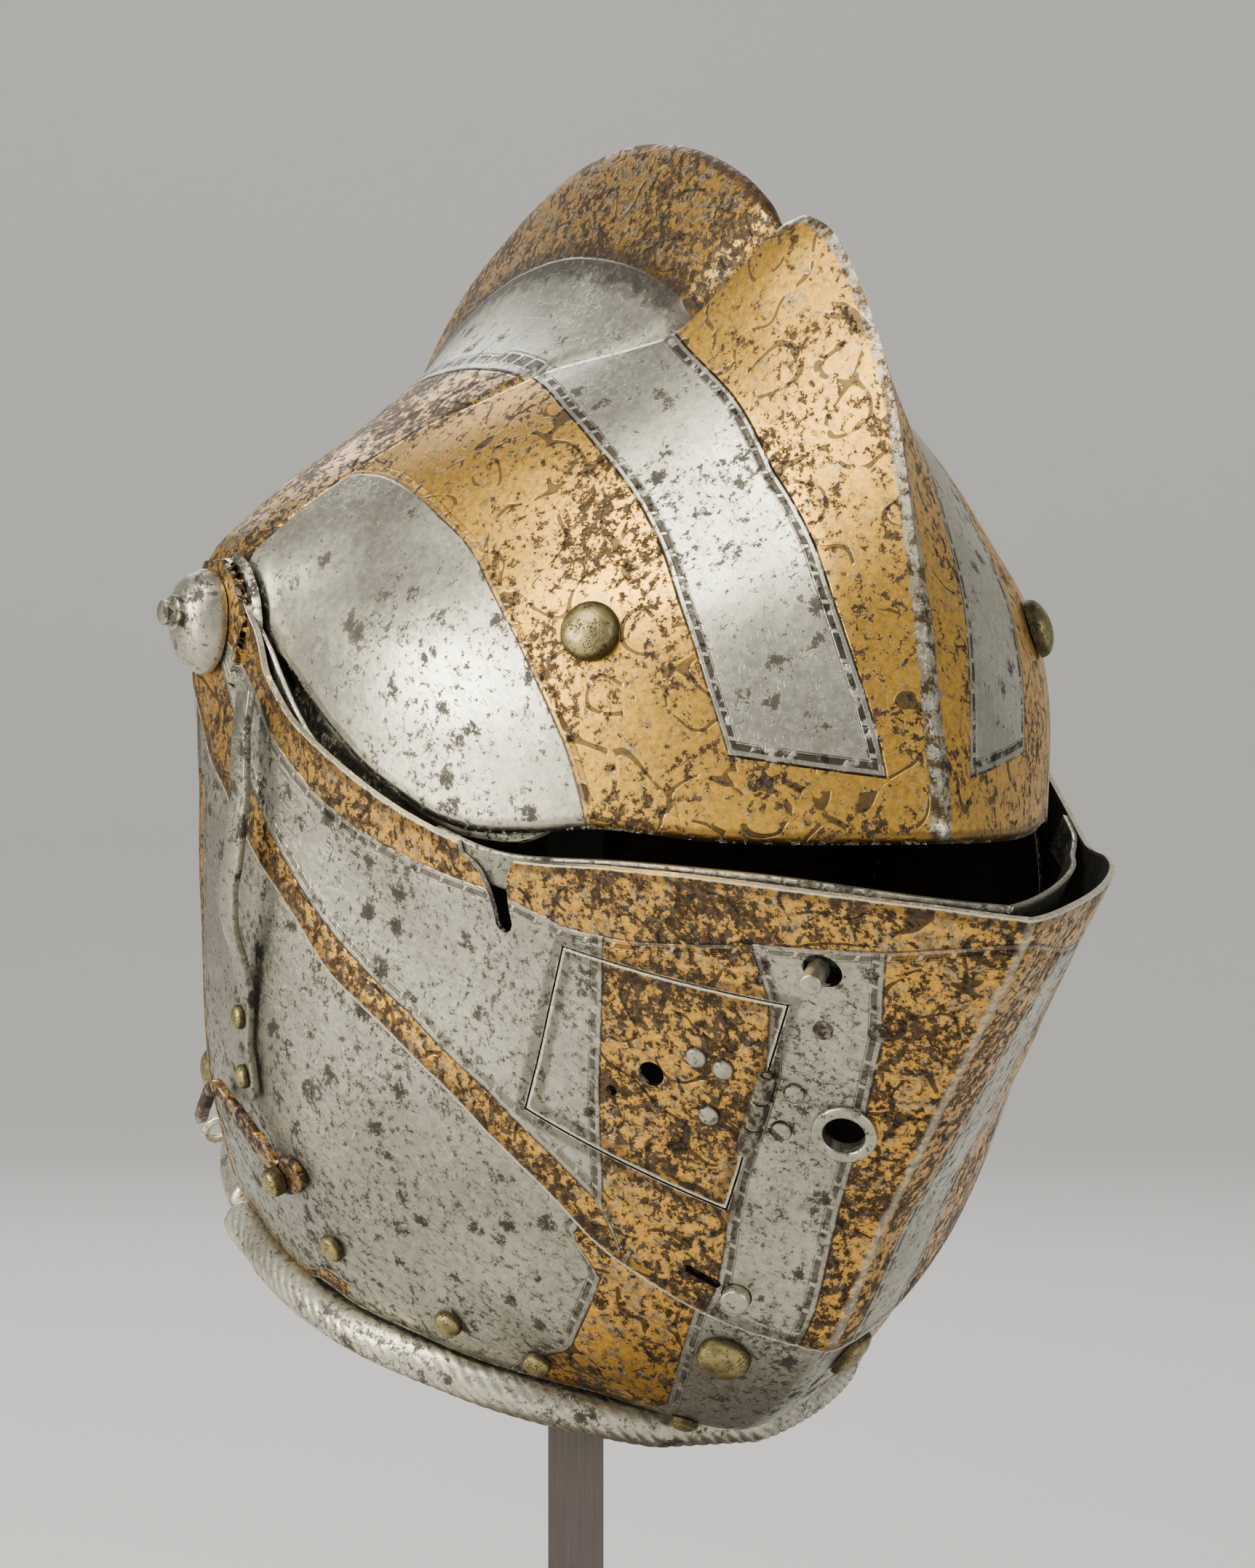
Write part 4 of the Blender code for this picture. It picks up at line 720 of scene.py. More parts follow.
def toned(colour, factor):
    """The colour times one factor, or times one for each channel."""
    factors = factor if isinstance(factor, tuple) else (factor,) * 3
    return tuple(c * k for c, k in zip(colour, factors))


class Outputs:
    """The outputs of a node, by name or number."""

    def __init__(self, net, node):
        self.net = net
        self.node = node

    def __getitem__(self, key):
        return Field(self.net, self.node.outputs[key])


class Net:
    """A material's nodes."""

    def __init__(self, name):
        self.material = bpy.data.materials.new(name)
        self.material.use_nodes = True
        self.tree = self.material.node_tree
        self.shader = self.tree.nodes["Principled BSDF"]

    def node(self, kind, values, **settings):
        """A node with its settings, and its inputs linked to fields or set."""
        made = self.tree.nodes.new("ShaderNode" + kind)
        for key, value in settings.items():
            setattr(made, key, value)
        for key, value in values.items():
            if isinstance(value, Field):
                self.tree.links.new(value.socket, made.inputs[key])
            else:
                made.inputs[key].default_value = value
        return Outputs(self, made)

    def place(self):
        """The point on the object, in millimetres."""
        return self.scaled(self.node("TexCoord", {})["Object"], MILLIMETRES)

    def normal(self):
        """The surface's normal on the object."""
        return self.node("TexCoord", {})["Normal"]

    def pair(self, name):
        """Both numbers of one of the piece's maps, in millimetres."""
        values = self.node("SeparateXYZ", {0: self.node("UVMap", {}, uv_map=name)["UV"]})
        return values["X"] * MILLIMETRES, values["Y"] * MILLIMETRES

    def scaled(self, vector, factor):
        return self.node("VectorMath", {0: vector, "Scale": factor}, operation="SCALE")["Vector"]

    def vector(self, operation, one, two):
        return self.node("VectorMath", {0: one, 1: two}, operation=operation)["Vector"]

    def moved(self, place, *shift):
        return self.vector("ADD", place, shift)

    def dot(self, one, two):
        return self.node("VectorMath", {0: one, 1: two}, operation="DOT_PRODUCT")["Value"]

    def noise(self, place, size, detail=2.0, rough=0.5, shift=0.0):
        """Noise with lumps of that many millimetres, from 0 to 1."""
        if shift:
            place = self.moved(place, shift, shift * 0.7, -shift * 1.3)
        values = {"Vector": place, "Scale": 1.0 / size, "Detail": detail, "Roughness": rough}
        return self.node("TexNoise", values)["Fac"]

    def cells(self, place, size, randomness=1.0):
        """Cells of about that many millimetres."""
        return self.node("TexVoronoi", {"Vector": place, "Scale": 1.0 / size, "Randomness": randomness})

    def blend(self, share, one, two):
        """A colour that goes from one to two as the share goes from 0 to 1."""
        one, two = ((*c, 1.0) if isinstance(c, tuple) else c for c in (one, two))
        return self.node("Mix", {0: share, 6: one, 7: two}, data_type="RGBA")[2]

    def painted_inside_shade(self, look):
        """Dark brown where the surface faces the middle of the helmet."""
        out = self.vector("SUBTRACT", self.place(), (0.0, 0.0, MILLIMETRES * PIVOT_HEIGHT))
        # Painted shade on the insides of the plates, darkest where they face the middle.
        inside = self.dot(self.normal(), out).step(-4.0, -14.0)
        return self.blend(inside, look[0], (0.030, 0.024, 0.019)), look[1] + inside * 0.25, look[2]

    def finish(self, colour, rough, height, metallic=1.0):
        """Feeds the shader. The height is in millimetres."""
        links, inputs = self.tree.links, self.shader.inputs
        links.new(colour.socket, inputs["Base Color"])
        links.new(rough.socket, inputs["Roughness"])
        inputs["Metallic"].default_value = metallic
        bump = self.node("Bump", {"Strength": 1.0, "Distance": 1 / MILLIMETRES, "Height": height})
        links.new(bump["Normal"].socket, inputs["Normal"])
        return self.material


def steel_look(net, place, tone, grime=0.0):
    """Worn plate: cloudy colour, ragged clusters of fine specks, and streaks that run down and
    forwards. Grime from 0 to 1 adds specks and streaks."""
    cloud = net.noise(place, 34.0, 3.0)
    fine = net.noise(place, 2.4, 5.0, 0.7, 11.0)
    colour = net.blend((cloud * 0.5 + fine * 0.5).step(0.34, 0.66), toned(tone, 0.66), toned(tone, 1.10))
    size = 8.5
    cell = net.cells(net.moved(place, 3.0, 11.0, 7.0), size)
    chance = net.node("SeparateColor", {0: cell["Color"]})["Red"].step(0.10, 0.60)
    cluster = (cell["Distance"] * size).step(3.6, 0.8) * chance
    drift = (net.noise(place, 24.0, 2.0, 0.5, 71.0) - 0.5) * 0.20
    ragged = net.noise(place, 2.2, 8.0, 0.80, 31.0) + drift
    halo = (cluster * 0.9 + grime * 0.3) * ragged.step(0.36, 0.56)
    specks = (ragged + cluster * 0.12).step(0.555 - grime * 0.03, 0.615 - grime * 0.03)
    along, across = net.dot(place, (0.0, 0.77, 0.64)), net.dot(place, (0.0, -0.64, 0.77))
    depth = net.node("SeparateXYZ", {0: place})["X"]
    down = net.node("CombineXYZ", {0: depth * 0.35, 1: along * 0.12, 2: across * 0.8})["Vector"]
    streak = net.noise(down, 1.0, 9.0, 0.82, 3.0)
    lines = streak.step(0.50, 0.62) * (0.14 + grime * 0.55)
    values = {"Vector": place, "Rotation": (0.5, 0.9, 0.3), "Scale": (2.6, 0.10, 0.5)}
    scratch = net.noise(net.node("Mapping", values)["Vector"], 1.0, 1.0, 0.4).step(0.66, 0.72)
    colour = net.blend(halo * 0.62, colour, toned(tone, 0.34))
    colour = net.blend(lines, colour, toned(tone, 0.30))
    colour = net.blend(scratch * 0.25, colour, (0.78, 0.75, 0.68))
    colour = net.blend(specks * 0.78, colour, (0.034, 0.028, 0.024))
    rough = 0.27 + fine * 0.14 + specks * 0.30 + halo * 0.10 + lines * 0.2
    height = cloud * 0.45 + fine * 0.03 - specks * 0.05 - lines * 0.04 - scratch * 0.015
    return colour, rough, height


def swirl(net, place, size, tightness):
    """Lines that wind round the middle of each cell, and each cell's own random number."""
    cell = net.cells(place, size, 0.75)
    away = net.vector("SUBTRACT", place, net.scaled(cell["Position"], size))
    out = net.normal()
    across = net.vector("CROSS_PRODUCT", (0.0, 0.0, 1.0), out)
    across = net.node("VectorMath", {0: across}, operation="NORMALIZE")["Vector"]
    x, y = net.dot(away, across), net.dot(away, net.vector("CROSS_PRODUCT", out, across))
    radius = (x * x + y * y) ** 0.5
    angle = y.math("ARCTAN2", x) / (2 * math.pi)
    random = net.node("SeparateColor", {0: cell["Color"]})
    hand = random["Green"].step(0.49, 0.51) * 2.0 - 1.0
    winding = (radius / tightness + angle * hand + random["Red"]).part()
    return winding, radius, random["Blue"]


def gilt_look(net, place, gold, ground, worn_steel, wear):
    """Etched and gilt ground: scrolls, ringed discs and stems, broken by ragged dark wear."""
    shake = net.node("TexNoise", {"Vector": place, "Scale": 0.11, "Detail": 1.0})["Color"]
    bent = net.vector("ADD", place, net.scaled(net.moved(shake, -0.5, -0.5, -0.5), 2.4))
    winding, radius, _ = swirl(net, bent, 7.6, 2.2)
    scroll = winding.near(0.5, 0.14, 0.08) * radius.step(4.0, 3.5)
    _, disc_radius, chance = swirl(net, net.moved(bent, 40.0, 17.0, 5.0), 9.0, 400.0)
    has_disc = chance.step(0.38, 0.40)
    disc = disc_radius.step(2.4, 2.1) * has_disc
    disc_line = disc_radius.near(1.6, 0.20, 0.12).high(disc_radius.near(0.7, 0.22, 0.12)) * has_disc
    broken = net.noise(place, 5.0, 1.0, 0.5, 65.0).step(0.44, 0.50)
    stem = net.noise(bent, 13.0, 0.0, 0.0, 5.0).near(0.5, 0.016, 0.010) * broken
    etched = scroll.high(stem)
    drift = (net.noise(place, 16.0, 2.0, 0.5, 13.0) - 0.5) * 0.34
    ragged = net.noise(place, 2.3, 6.0, 0.74, 23.0) + drift
    other = net.noise(place, 3.6, 8.0, 0.80, 57.0) - drift * 0.6
    dark = ragged.step(0.535 - wear, 0.585 - wear)
    shade = ragged.step(0.40 - wear, 0.56 - wear)
    bare = other.step(0.57 - wear, 0.62 - wear)
    fine = net.noise(place, 1.6, 4.0, 0.7, 3.0)
    colour = net.blend(fine.step(0.36, 0.62), toned(gold, 0.74), gold)
    colour = net.blend(shade * 0.30, colour, (0.20, 0.15, 0.10))
    grey = net.blend(fine.step(0.40, 0.62), ground, worn_steel)
    colour = net.blend(bare * 0.70, colour, grey)
    colour = net.blend(disc * 0.85, colour, toned(ground, 0.45))
    colour = net.blend(disc_line * 0.75, colour, toned(gold, 1.1))
    colour = net.blend(etched * 0.85, colour, toned(ground, 0.35))
    patch = net.blend(fine.step(0.44, 0.60), (0.026, 0.020, 0.018), (0.085, 0.070, 0.060))
    colour = net.blend(dark * 0.92, colour, patch)
    rough = 0.30 + fine * 0.12 + etched * 0.12 + dark * 0.26
    height = fine * 0.03 - etched * 0.10 - disc * 0.06 + disc_line * 0.08 - dark * 0.05
    return colour, rough, height


def mix_looks(net, share, one, two):
    """One look where the share is 0 and the other where it is 1."""
    colour = net.blend(share, one[0], two[0])
    rough = one[1] + (two[1] - one[1]) * share
    height = one[2] + (two[2] - one[2]) * share
    return colour, rough, height


def edge_wear_and_light(net, look, edge, place, bright):
    """Rubs the edge bright and lets dirt settle just inside it."""
    wobble = net.noise(place, 3.0, 3.0, 0.6, 83.0)
    # Painted highlight along the edge, together with rubbed bright wear.
    rub_and_highlight = (edge + wobble * 1.0).step(1.35, 0.75)
    # Dark band just inside the edge: dirt, and a painted shadow along it.
    dirt = (edge + wobble * 2.0).near(2.8, 0.7, 1.3) * 0.55
    colour = net.blend(dirt, look[0], (0.05, 0.038, 0.028))
    colour = net.blend(rub_and_highlight * (0.35 + wobble * 0.8), colour, bright)
    return colour, look[1] * (1 - rub_and_highlight * 0.35), look[2] + edge.step(0.0, 0.9) * 0.16


def border_line(net, look, distance, along, place, sizes, strong=1.0):
    """A dark line, a grey strip and a row of sunk dashes between beads, on the side where the
    distance grows."""
    dash = sizes.dash_length * MILLIMETRES
    spot = (along / (dash + 1.0)).part()
    row, sunk = distance.near(2.1, 0.62, 0.25), spot.near(0.45, 0.40, 0.05)
    dashes, beads = row * sunk, row * (1 - sunk)
    line = distance.near(0.0, 0.20, 0.25).high(distance.near(3.2, 0.10, 0.15) * 0.7)
    strip = distance.near(0.8, 0.55, 0.2)
    colour, rough, height = look
    uneven = net.noise(place, 4.0, 3.0, 0.6, 91.0).step(0.32, 0.50) * strong
    colour = net.blend(strip * 0.45 * uneven, colour, (0.30, 0.27, 0.22))
    colour = net.blend(beads * 0.7 * uneven, colour, (0.55, 0.51, 0.42))
    colour = net.blend(dashes * 0.92 * uneven, colour, (0.030, 0.021, 0.016))
    colour = net.blend(line * 0.92 * uneven, colour, (0.020, 0.015, 0.012))
    height = height + (beads * 0.22 - dashes * 0.22 - line * 0.12) * uneven
    return colour, rough + dashes * 0.15, height


def steel_material(name, looks, brightness=1.0, grime=0.0):
    """Steel with no pattern."""
    net = Net(name)
    return net.finish(*steel_look(net, net.place(), toned(looks.steel, brightness), grime))


def brow_material(looks, sizes):
    """Steel cheeks and a steel strip on each side, with gilt between and beside the comb."""
    net = Net("brow_gilt")
    place = net.place()
    side, outer = net.pair("side")
    inner, foot = net.pair("strip")
    across, along = net.pair("chart")
    low, high = net.pair("edge")
    steel = steel_look(net, place, tuple(looks.steel))
    gilt = gilt_look(net, place, tuple(looks.gilt), tuple(looks.etched), toned(looks.steel, 0.75), 0.0)
    strip = outer.low(inner * -1.0).low(foot)
    bare = strip.step(-0.2, 0.2).high(side.step(0.2, -0.2))
    look = mix_looks(net, bare, gilt, steel)
    look = border_line(net, look, strip, along, place, sizes)
    look = border_line(net, look, side, along, place, sizes, 0.55)
    ridge = (across + net.noise(place, 3.0, 2.0, 0.5, 17.0) * 1.5).step(3.9, 2.7)
    mottle = net.noise(place, 4.0, 8.0, 0.8, 37.0).step(0.46, 0.56)
    rubbed = net.blend(mottle, toned(looks.steel, 0.7), (0.05, 0.042, 0.036))
    colour = net.blend(ridge * 0.88, look[0], rubbed)
    look = (colour, look[1], look[2] + across.step(0.0, 3.2) * -0.1)
    edge = low.low(high + across.step(6.0, 11.0) * 9.0)
    look = edge_wear_and_light(net, look, edge, place, toned(looks.steel, 1.25))
    return net.finish(*net.painted_inside_shade(look))


def upper_material(name, looks, sizes):
    """Gilt bands along both edges and the ridge, a gilt panel behind the door, steel between."""
    net = Net(name)
    place = net.place()
    top, foot = net.pair("bands")
    panel, outer = net.pair("panel")
    inner, door = net.pair("strip")
    across, along = net.pair("chart")
    low, high = net.pair("edge")
    steel = steel_look(net, place, toned(looks.steel, 0.80), 0.7)
    gold = toned(looks.gilt, (0.92, 0.88, 0.84))
    gilt = gilt_look(net, place, gold, toned(looks.etched, 0.55), toned(looks.steel, 0.5), 0.06)
    field = panel.low(outer * -1.0)
    shown = top.high(foot).high(field).high(inner)
    look = mix_looks(net, shown.step(-0.2, 0.2), steel, gilt)
    look = border_line(net, look, top * -1.0, across, place, sizes, 0.7)
    look = border_line(net, look, foot * -1.0, across, place, sizes, 0.6)
    under_top = top.step(0.0, -1.0)
    strip_side = (inner * -1.0).low(outer)
    marked = border_line(net, look, strip_side, along, place, sizes, 0.8)
    look = mix_looks(net, under_top, look, marked)
    marked = border_line(net, look, panel * -1.0, along, place, sizes, 0.8)
    look = mix_looks(net, under_top * foot.step(0.0, -1.0) * outer.step(0.0, -1.0), look, marked)
    # Lighter steel along the ridge: partly a thin rubbed line, partly a painted highlight.
    ridge = (across + net.noise(place, 3.0, 2.0, 0.5, 17.0) * 1.5).step(2.2, 1.1)
    look = (net.blend(ridge * 0.4, look[0], toned(looks.steel, 1.05)), look[1], look[2])
    # The door's outline gets the painted highlight and painted shadow band of an edge too.
    edge = low.low(high).low(abs(door))
    look = edge_wear_and_light(net, look, edge, place, toned(looks.steel, 1.2))
    return net.finish(*net.painted_inside_shade(look))


def lower_material(looks, sizes):
    """Scratched steel with a gilt panel under the chin and a gilt band behind."""
    net = Net("lower_bevor_steel")
    place = net.place()
    side, front = net.pair("chin")
    behind, seam = net.pair("rear")
    low, high = net.pair("edge")
    across, along = net.pair("chart")
    steel = steel_look(net, place, toned(looks.steel, 0.68), 1.0)
    gold = toned(looks.gilt, (0.90, 0.85, 0.80))
    gilt = gilt_look(net, place, gold, toned(looks.etched, 0.55), toned(looks.steel, 0.5), 0.05)
    field = side.low(front * -1.0)
    look = mix_looks(net, field.high(behind).step(-0.2, 0.2), steel, gilt)
    look = border_line(net, look, field * -1.0, along, place, sizes, 0.7)
    look = border_line(net, look, behind * -1.0, along, place, sizes, 0.7)
    look = edge_wear_and_light(net, look, low.low(high), place, toned(looks.steel, 1.2))
    return net.finish(*net.painted_inside_shade(look))


def skull_material(looks, sizes):
    """Steel bowl, with gilt on the comb and in a band behind the brow plate."""
    net = Net("skull_steel")
    place = net.place()
    comb, band = net.pair("comb")
    across, along = net.pair("chart")
    edge, _ = net.pair("edge")
    steel = steel_look(net, place, tuple(looks.steel))
    gilt = gilt_look(net, place, toned(looks.gilt, 0.9), tuple(looks.etched), toned(looks.steel, 0.7), 0.07)
    look = mix_looks(net, comb.high(band).step(-0.2, 0.2), steel, gilt)
    shadow = (comb + net.noise(place, 5.0, 6.0, 0.7, 29.0) * 9.0).near(4.0, 1.2, 3.0)
    look = (net.blend(shadow * 0.75, look[0], (0.050, 0.038, 0.030)), look[1], look[2])
    look = border_line(net, look, band * -1.0, along, place, sizes, 0.9)
    crest = (across + net.noise(place, 5.0, 4.0, 0.6, 17.0) * 3.0).step(5.4, 3.6)
    colour = net.blend(crest * 0.80, look[0], (0.085, 0.052, 0.032))
    look = (colour, look[1] + crest * 0.08, look[2])
    look = edge_wear_and_light(net, look, edge, place, toned(looks.steel, 1.2))
    return net.finish(*net.painted_inside_shade(look))


def rim_material(looks):
    """Bright mottled steel whose grooves hold dirt."""
    net = Net("rope_steel")
    place = net.place()
    colour, rough, height = steel_look(net, place, tuple(looks.steel), 0.45)
    groove, _ = net.pair("groove")
    dirt = groove.step(0.45, 0.10)
    colour = net.blend(dirt * 0.8, colour, (0.045, 0.034, 0.025))
    return net.finish(colour, rough + dirt * 0.2, height * 0.5)


def headed(net, look):
    """Darkens a rivet's head at its foot, where the dirt sits."""
    foot = net.pair("head")[0].step(0.80, 0.97)
    return net.blend(foot * 0.75, look[0], (0.022, 0.017, 0.013)), look[1] + foot * 0.2, look[2]


def brass_material(looks):
    """Dull brass with dark dirt and rubbed high spots."""
    net = Net("dull_brass")
    place = net.place()
    tone = net.noise(place, 3.0, 4.0, 0.65)
    colour = net.blend(tone.step(0.36, 0.60), toned(looks.brass, 0.50), tuple(looks.brass))
    spots = net.noise(place, 2.5, 2.0, 0.5, 9.0).step(0.46, 0.56)
    dots = net.cells(place, 0.6)["Distance"].step(0.5, 0.25) * spots
    colour = net.blend(dots * 0.8, colour, (0.045, 0.035, 0.022))
    rough = 0.34 + tone * 0.16 + dots * 0.2
    return net.finish(*headed(net, (colour, rough, tone * 0.22 - dots * 0.08)))


def rivet_material(looks):
    """Steel of the small rivets."""
    net = Net("rivet_steel")
    return net.finish(*headed(net, steel_look(net, net.place(), toned(looks.steel, 0.8), 0.3)))


def dark_material(looks):
    """Brown-black steel with rubbed spots."""
    net = Net("brown_steel")
    place = net.place()
    tone = net.noise(place, 2.2, 4.0, 0.65)
    colour = net.blend(tone.step(0.42, 0.66), tuple(looks.patina), toned(looks.steel, 0.45))
    return net.finish(colour, 0.42 + tone * 0.2, tone * 0.2)


def stand_material(looks):
    """Grey-brown paint with a faint brushed grain."""
    net = Net("stand_paint")
    place = net.place()
    grain = net.node("Mapping", {"Vector": place, "Scale": (1.6, 1.6, 0.05)})["Vector"]
    streak = net.noise(grain, 1.0, 2.0, 0.5)
    cloud = net.noise(place, 14.0, 4.0, 0.6)
    base = tuple(looks.stand)
    colour = net.blend(streak * 0.5 + cloud * 0.5, toned(base, 0.65), toned(base, 1.4))
    chips = net.noise(place, 2.0, 5.0, 0.7, 29.0).step(0.68, 0.74)
    colour = net.blend(chips * 0.5, colour, toned(base, 2.4))
    return net.finish(colour, 0.42 + cloud * 0.2, streak * 0.08 + cloud * 0.1, 0.35)


# Pieces

def plate_half(surface, rows, offset, steps, eye=None):
    """Lift, turn and points of a plate's right half."""
    lift, turn = row_points(rows, *steps)
    if eye is not None:
        ring_lift, ring_turn = eye_rows(eye, steps[1])
        lift, turn = np.vstack([ring_lift, lift]), np.vstack([ring_turn, turn])
    points = lifted(surface, lift, turn, offset)
    points[-1, turn[-1] > 89.9, 0] = 0.0
    return lift, turn, points


def build_skull(looks, sizes):
    rear = NAPE_END + NAPE_DROP
    closed = np.linspace(SKULL_EDGE[-1, 0], 360 + rear, 200)
    lifts = np.concatenate([closed, np.linspace(rear + 0.1, SKULL_EDGE[-1, 0], 120)])
    open_part = np.arange(len(lifts)) >= len(closed)
    edge = np.ones(len(lifts))
    rim = over_rim(skull_skin, nape_path(60), lifts.clip(RIM_BACK, SKULL_EDGE[0, 0]), NAPE_SEAT)
    front = smooth_curve(lifts, SKULL_EDGE, 1)
    edge[open_part] = np.where(lifts < SKULL_EDGE[0, 0], rim, front)[open_part]
    outer = to_turn(edge)
    start = to_turn(SKULL_BOLT_HOLE / (REACH * smooth_curve(wrap(lifts), SKULL_SECTIONS, 1)))
    lines = 1 - (1 - np.linspace(0, 1, 64)) ** 1.35
    turn = start[None] + (outer - start)[None] * lines[:, None]
    lift = np.broadcast_to(lifts[None], turn.shape)
    points = tucked_skull(lift, turn)
    points[-1, edge > 0.9999, 0] = 0.0
    chart = running(skull_skin, wrap(lift), turn)
    out = np.abs(points[..., 0])
    up = (wrap(lift) > -20) | (wrap(lift) < -140)
    comb = np.where(up, sizes.comb_band - out, OUTSIDE)
    share, over = np.sin(np.radians(turn)), from_axis(points)
    seam = np.interp(share, BROW_ROWS[:, 3], BROW_ROWS[:, 2])
    away = over * np.radians(np.where(wrap(lift) < -20, 90, wrap(lift) - seam))
    first, last = sizes.crown_band
    band = np.minimum(share - first, last - share) * over * 1.3
    behind_brow = np.minimum(0.024 - away, last * over - share * over)
    band = np.where(up, np.maximum(band, behind_brow), OUTSIDE)
    ends = np.linalg.norm(points - points[-1:], axis=-1)
    ends = np.where((edge > 0.9999)[None], -OUTSIDE, ends)
    maps = [("chart", twice(chart)), ("comb", twice(np.stack([comb, band], -1))),
            ("edge", twice(np.stack([ends, ends], -1)))]
    add_plate("skull_bowl", both(points), maps, skull_material(looks, sizes), SKULL_WALL,
              "helmet_on_stand", "skull")


def build_brow(looks, sizes):
    steps = (120, 84)
    taper = BROW_NARROWING * (1 - ease(np.linspace(0, 1, steps[0] + 1), 0.05, 0.35))
    lift, turn, points = plate_half(skull_skin, BROW_ROWS, (OVER_SKULL - taper)[:, None], steps)
    side = across_from(skull_skin, lift, turn, BROW_SIDE)
    outer = across_from(skull_skin, lift, turn, BROW_STRIP_OUTER)
    inner = across_from(skull_skin, lift, turn, BROW_STRIP_INNER)
    foot = from_axis(points) * np.radians(lift - BROW_STRIP_FOOT)
    maps = [("chart", twice(running(skull_skin, lift, turn))), ("edge", twice(edge_lengths(points))),
            ("side", twice(np.stack([side, outer], -1))), ("strip", twice(np.stack([inner, foot], -1)))]
    add_plate("brow_reinforce", both(points), maps, brow_material(looks, sizes), BROW_WALL,
              "helmet_on_stand", "brow_plate")


def build_lower_bevor(looks, sizes):
    rows = LOWER_ROWS.copy()
    over = rows[:, 0] >= RIM_SPLIT
    over[:LOWER_RIM_ROW] = False
    rows[over, 1] = over_rim(bevor_skin, front_path(80), rows[over, 0], RIM_SEAT)
    rows[-1, :2] = RIM_FRONT + math.degrees((RIM_RADIUS + RIM_SEAT) / REACH), 1.0
    lift, turn, points = plate_half(bevor_skin, rows, 0.0, (150, 78), -60.0)
    side = across_from(bevor_skin, lift, turn, CHIN_SIDE)
    front = across_from(bevor_skin, lift, turn, CHIN_FRONT)
    ends = edge_lengths(points)
    share = np.sin(np.radians(turn))
    behind = (share > 0.2) & (share < 0.77) & (lift < -60)
    rear = np.where(behind, sizes.rear_band - ends[..., 0], OUTSIDE)
    maps = [("chart", twice(running(bevor_skin, lift, turn))), ("edge", twice(ends)),
            ("chin", twice(np.stack([side, front], -1))), ("rear", twice(np.stack([rear, rear], -1)))]
    add_plate("chin_plate", both(points), maps, lower_material(looks, sizes), LOWER_WALL,
              "lower_bevor_body", "lower_bevor")


def door_outline(grow):
    """The breath door's corners in the frame at its middle, moved out by grow."""
    middle = frame_at(bevor_skin, *DOOR_CORNERS.mean(0), OVER_BEVOR)
    lifts, shares = DOOR_CORNERS.T
    corners = lifted(bevor_skin, lifts, to_turn(shares), OVER_BEVOR + 0 * lifts)
    flat = ((corners - middle[:3, 3]) @ middle[:3, :3])[:, :2]
    sides = unit(flat - np.roll(flat, 1, 0)), unit(np.roll(flat, -1, 0) - flat)
    out_one, out_two = (np.stack([side[:, 1], -side[:, 0]], -1) for side in sides)
    facing = np.sign(np.sum(out_one * (flat - flat.mean(0)), -1, keepdims=True))
    joint = unit(out_one * facing + out_two * facing)
    return middle, flat + joint * grow / np.sum(joint * out_one * facing, -1, keepdims=True)


def inside_door(points):
    """Length to the door's outline, positive inside it."""
    middle, flat = door_outline(0.0)
    local = ((points - middle[:3, 3]) @ middle[:3, :3])[..., :2]
    centre = flat.mean(0)
    least = np.full(local.shape[:-1], 1.0)
    for i in range(4):
        a, b = flat[i], flat[(i + 1) % 4]
        out = np.array((b[1] - a[1], a[0] - b[0])) / np.linalg.norm(b - a)
        out *= np.sign(out @ (a - centre))
        least = np.minimum(least, (a - local) @ out)
    return least


def upper_maps(lift, turn, points, edges, door):
    """The maps of a plate that carries the upper bevor's pattern."""
    top = above(points, lift, turn, TOP_BAND)
    foot = -above(points, lift, turn, FOOT_BAND)
    panel = across_from(bevor_skin, lift, turn, PANEL_SIDE)
    outer = across_from(bevor_skin, lift, turn, STRIP_OUTER)
    inner = across_from(bevor_skin, lift, turn, STRIP_INNER)
    return [("chart", running(bevor_skin, lift, turn)), ("edge", edges), ("bands", np.stack([top, foot], -1)),
            ("panel", np.stack([panel, outer], -1)), ("strip", np.stack([inner, door], -1))]


def build_upper_bevor(looks, sizes):
    lift, turn, points = plate_half(bevor_skin, UPPER_ROWS, OVER_BEVOR, (150, 78), -50.0)
    door = inside_door(points)
    edges = edge_lengths(points)
    maps = [(key, twice(values)) for key, values in upper_maps(lift, turn, points, edges, door)]
    for key, values in maps:
        if key == "strip":
            values[1] = np.stack([values[0][..., 0], -OUTSIDE + 0 * door], -1)
    piece = add_plate("face_plate", both(points), maps, upper_material("upper_gilt", looks, sizes),
                      UPPER_WALL, "upper_bevor_body", "upper_bevor")
    middle, outline = door_outline(DOOR_GAP)
    cutters = [cut(piece, placed(prism(outline, -2 * THROUGH, 2 * THROUGH), middle))]
    for place, outline, upright in ((RING_PLACE, circle(0.0066, 40), False),
                                    ((-25.2, 0.896), circle(0.0049, 32, 0.85), False),
                                    (LOWER_STUD_PLACE, circle(0.0037, 28), False),
                                    ((-54.2, 0.912), slot_outline(0.0100, 0.0022), False),
                                    ((-29.8, 0.580), notch_outline(), True)):
        spot = frame_at(bevor_skin, *place, OVER_BEVOR, upright=upright)
        cutters.append(cut(piece, placed(prism(outline, -THROUGH, THROUGH), spot)))
    settled(piece, cutters)
    steps = (90, 14)
    back = BEVOR_GAP - SEAT_GAP
    offset = back - (SIGHT_PLATE_DEPTH + back) * ease(np.linspace(0, 1, steps[0] + 1), 0.15, 0.60)
    lift, turn, points = plate_half(bevor_skin, SIGHT_PLATE_ROWS, offset[:, None], steps)
    add_plate("sight_lining", both(points), (), steel_material("lining_steel", looks, 0.55, 0.8),
              SIGHT_PLATE_WALL, "upper_bevor_body", "inner_sight_plate")


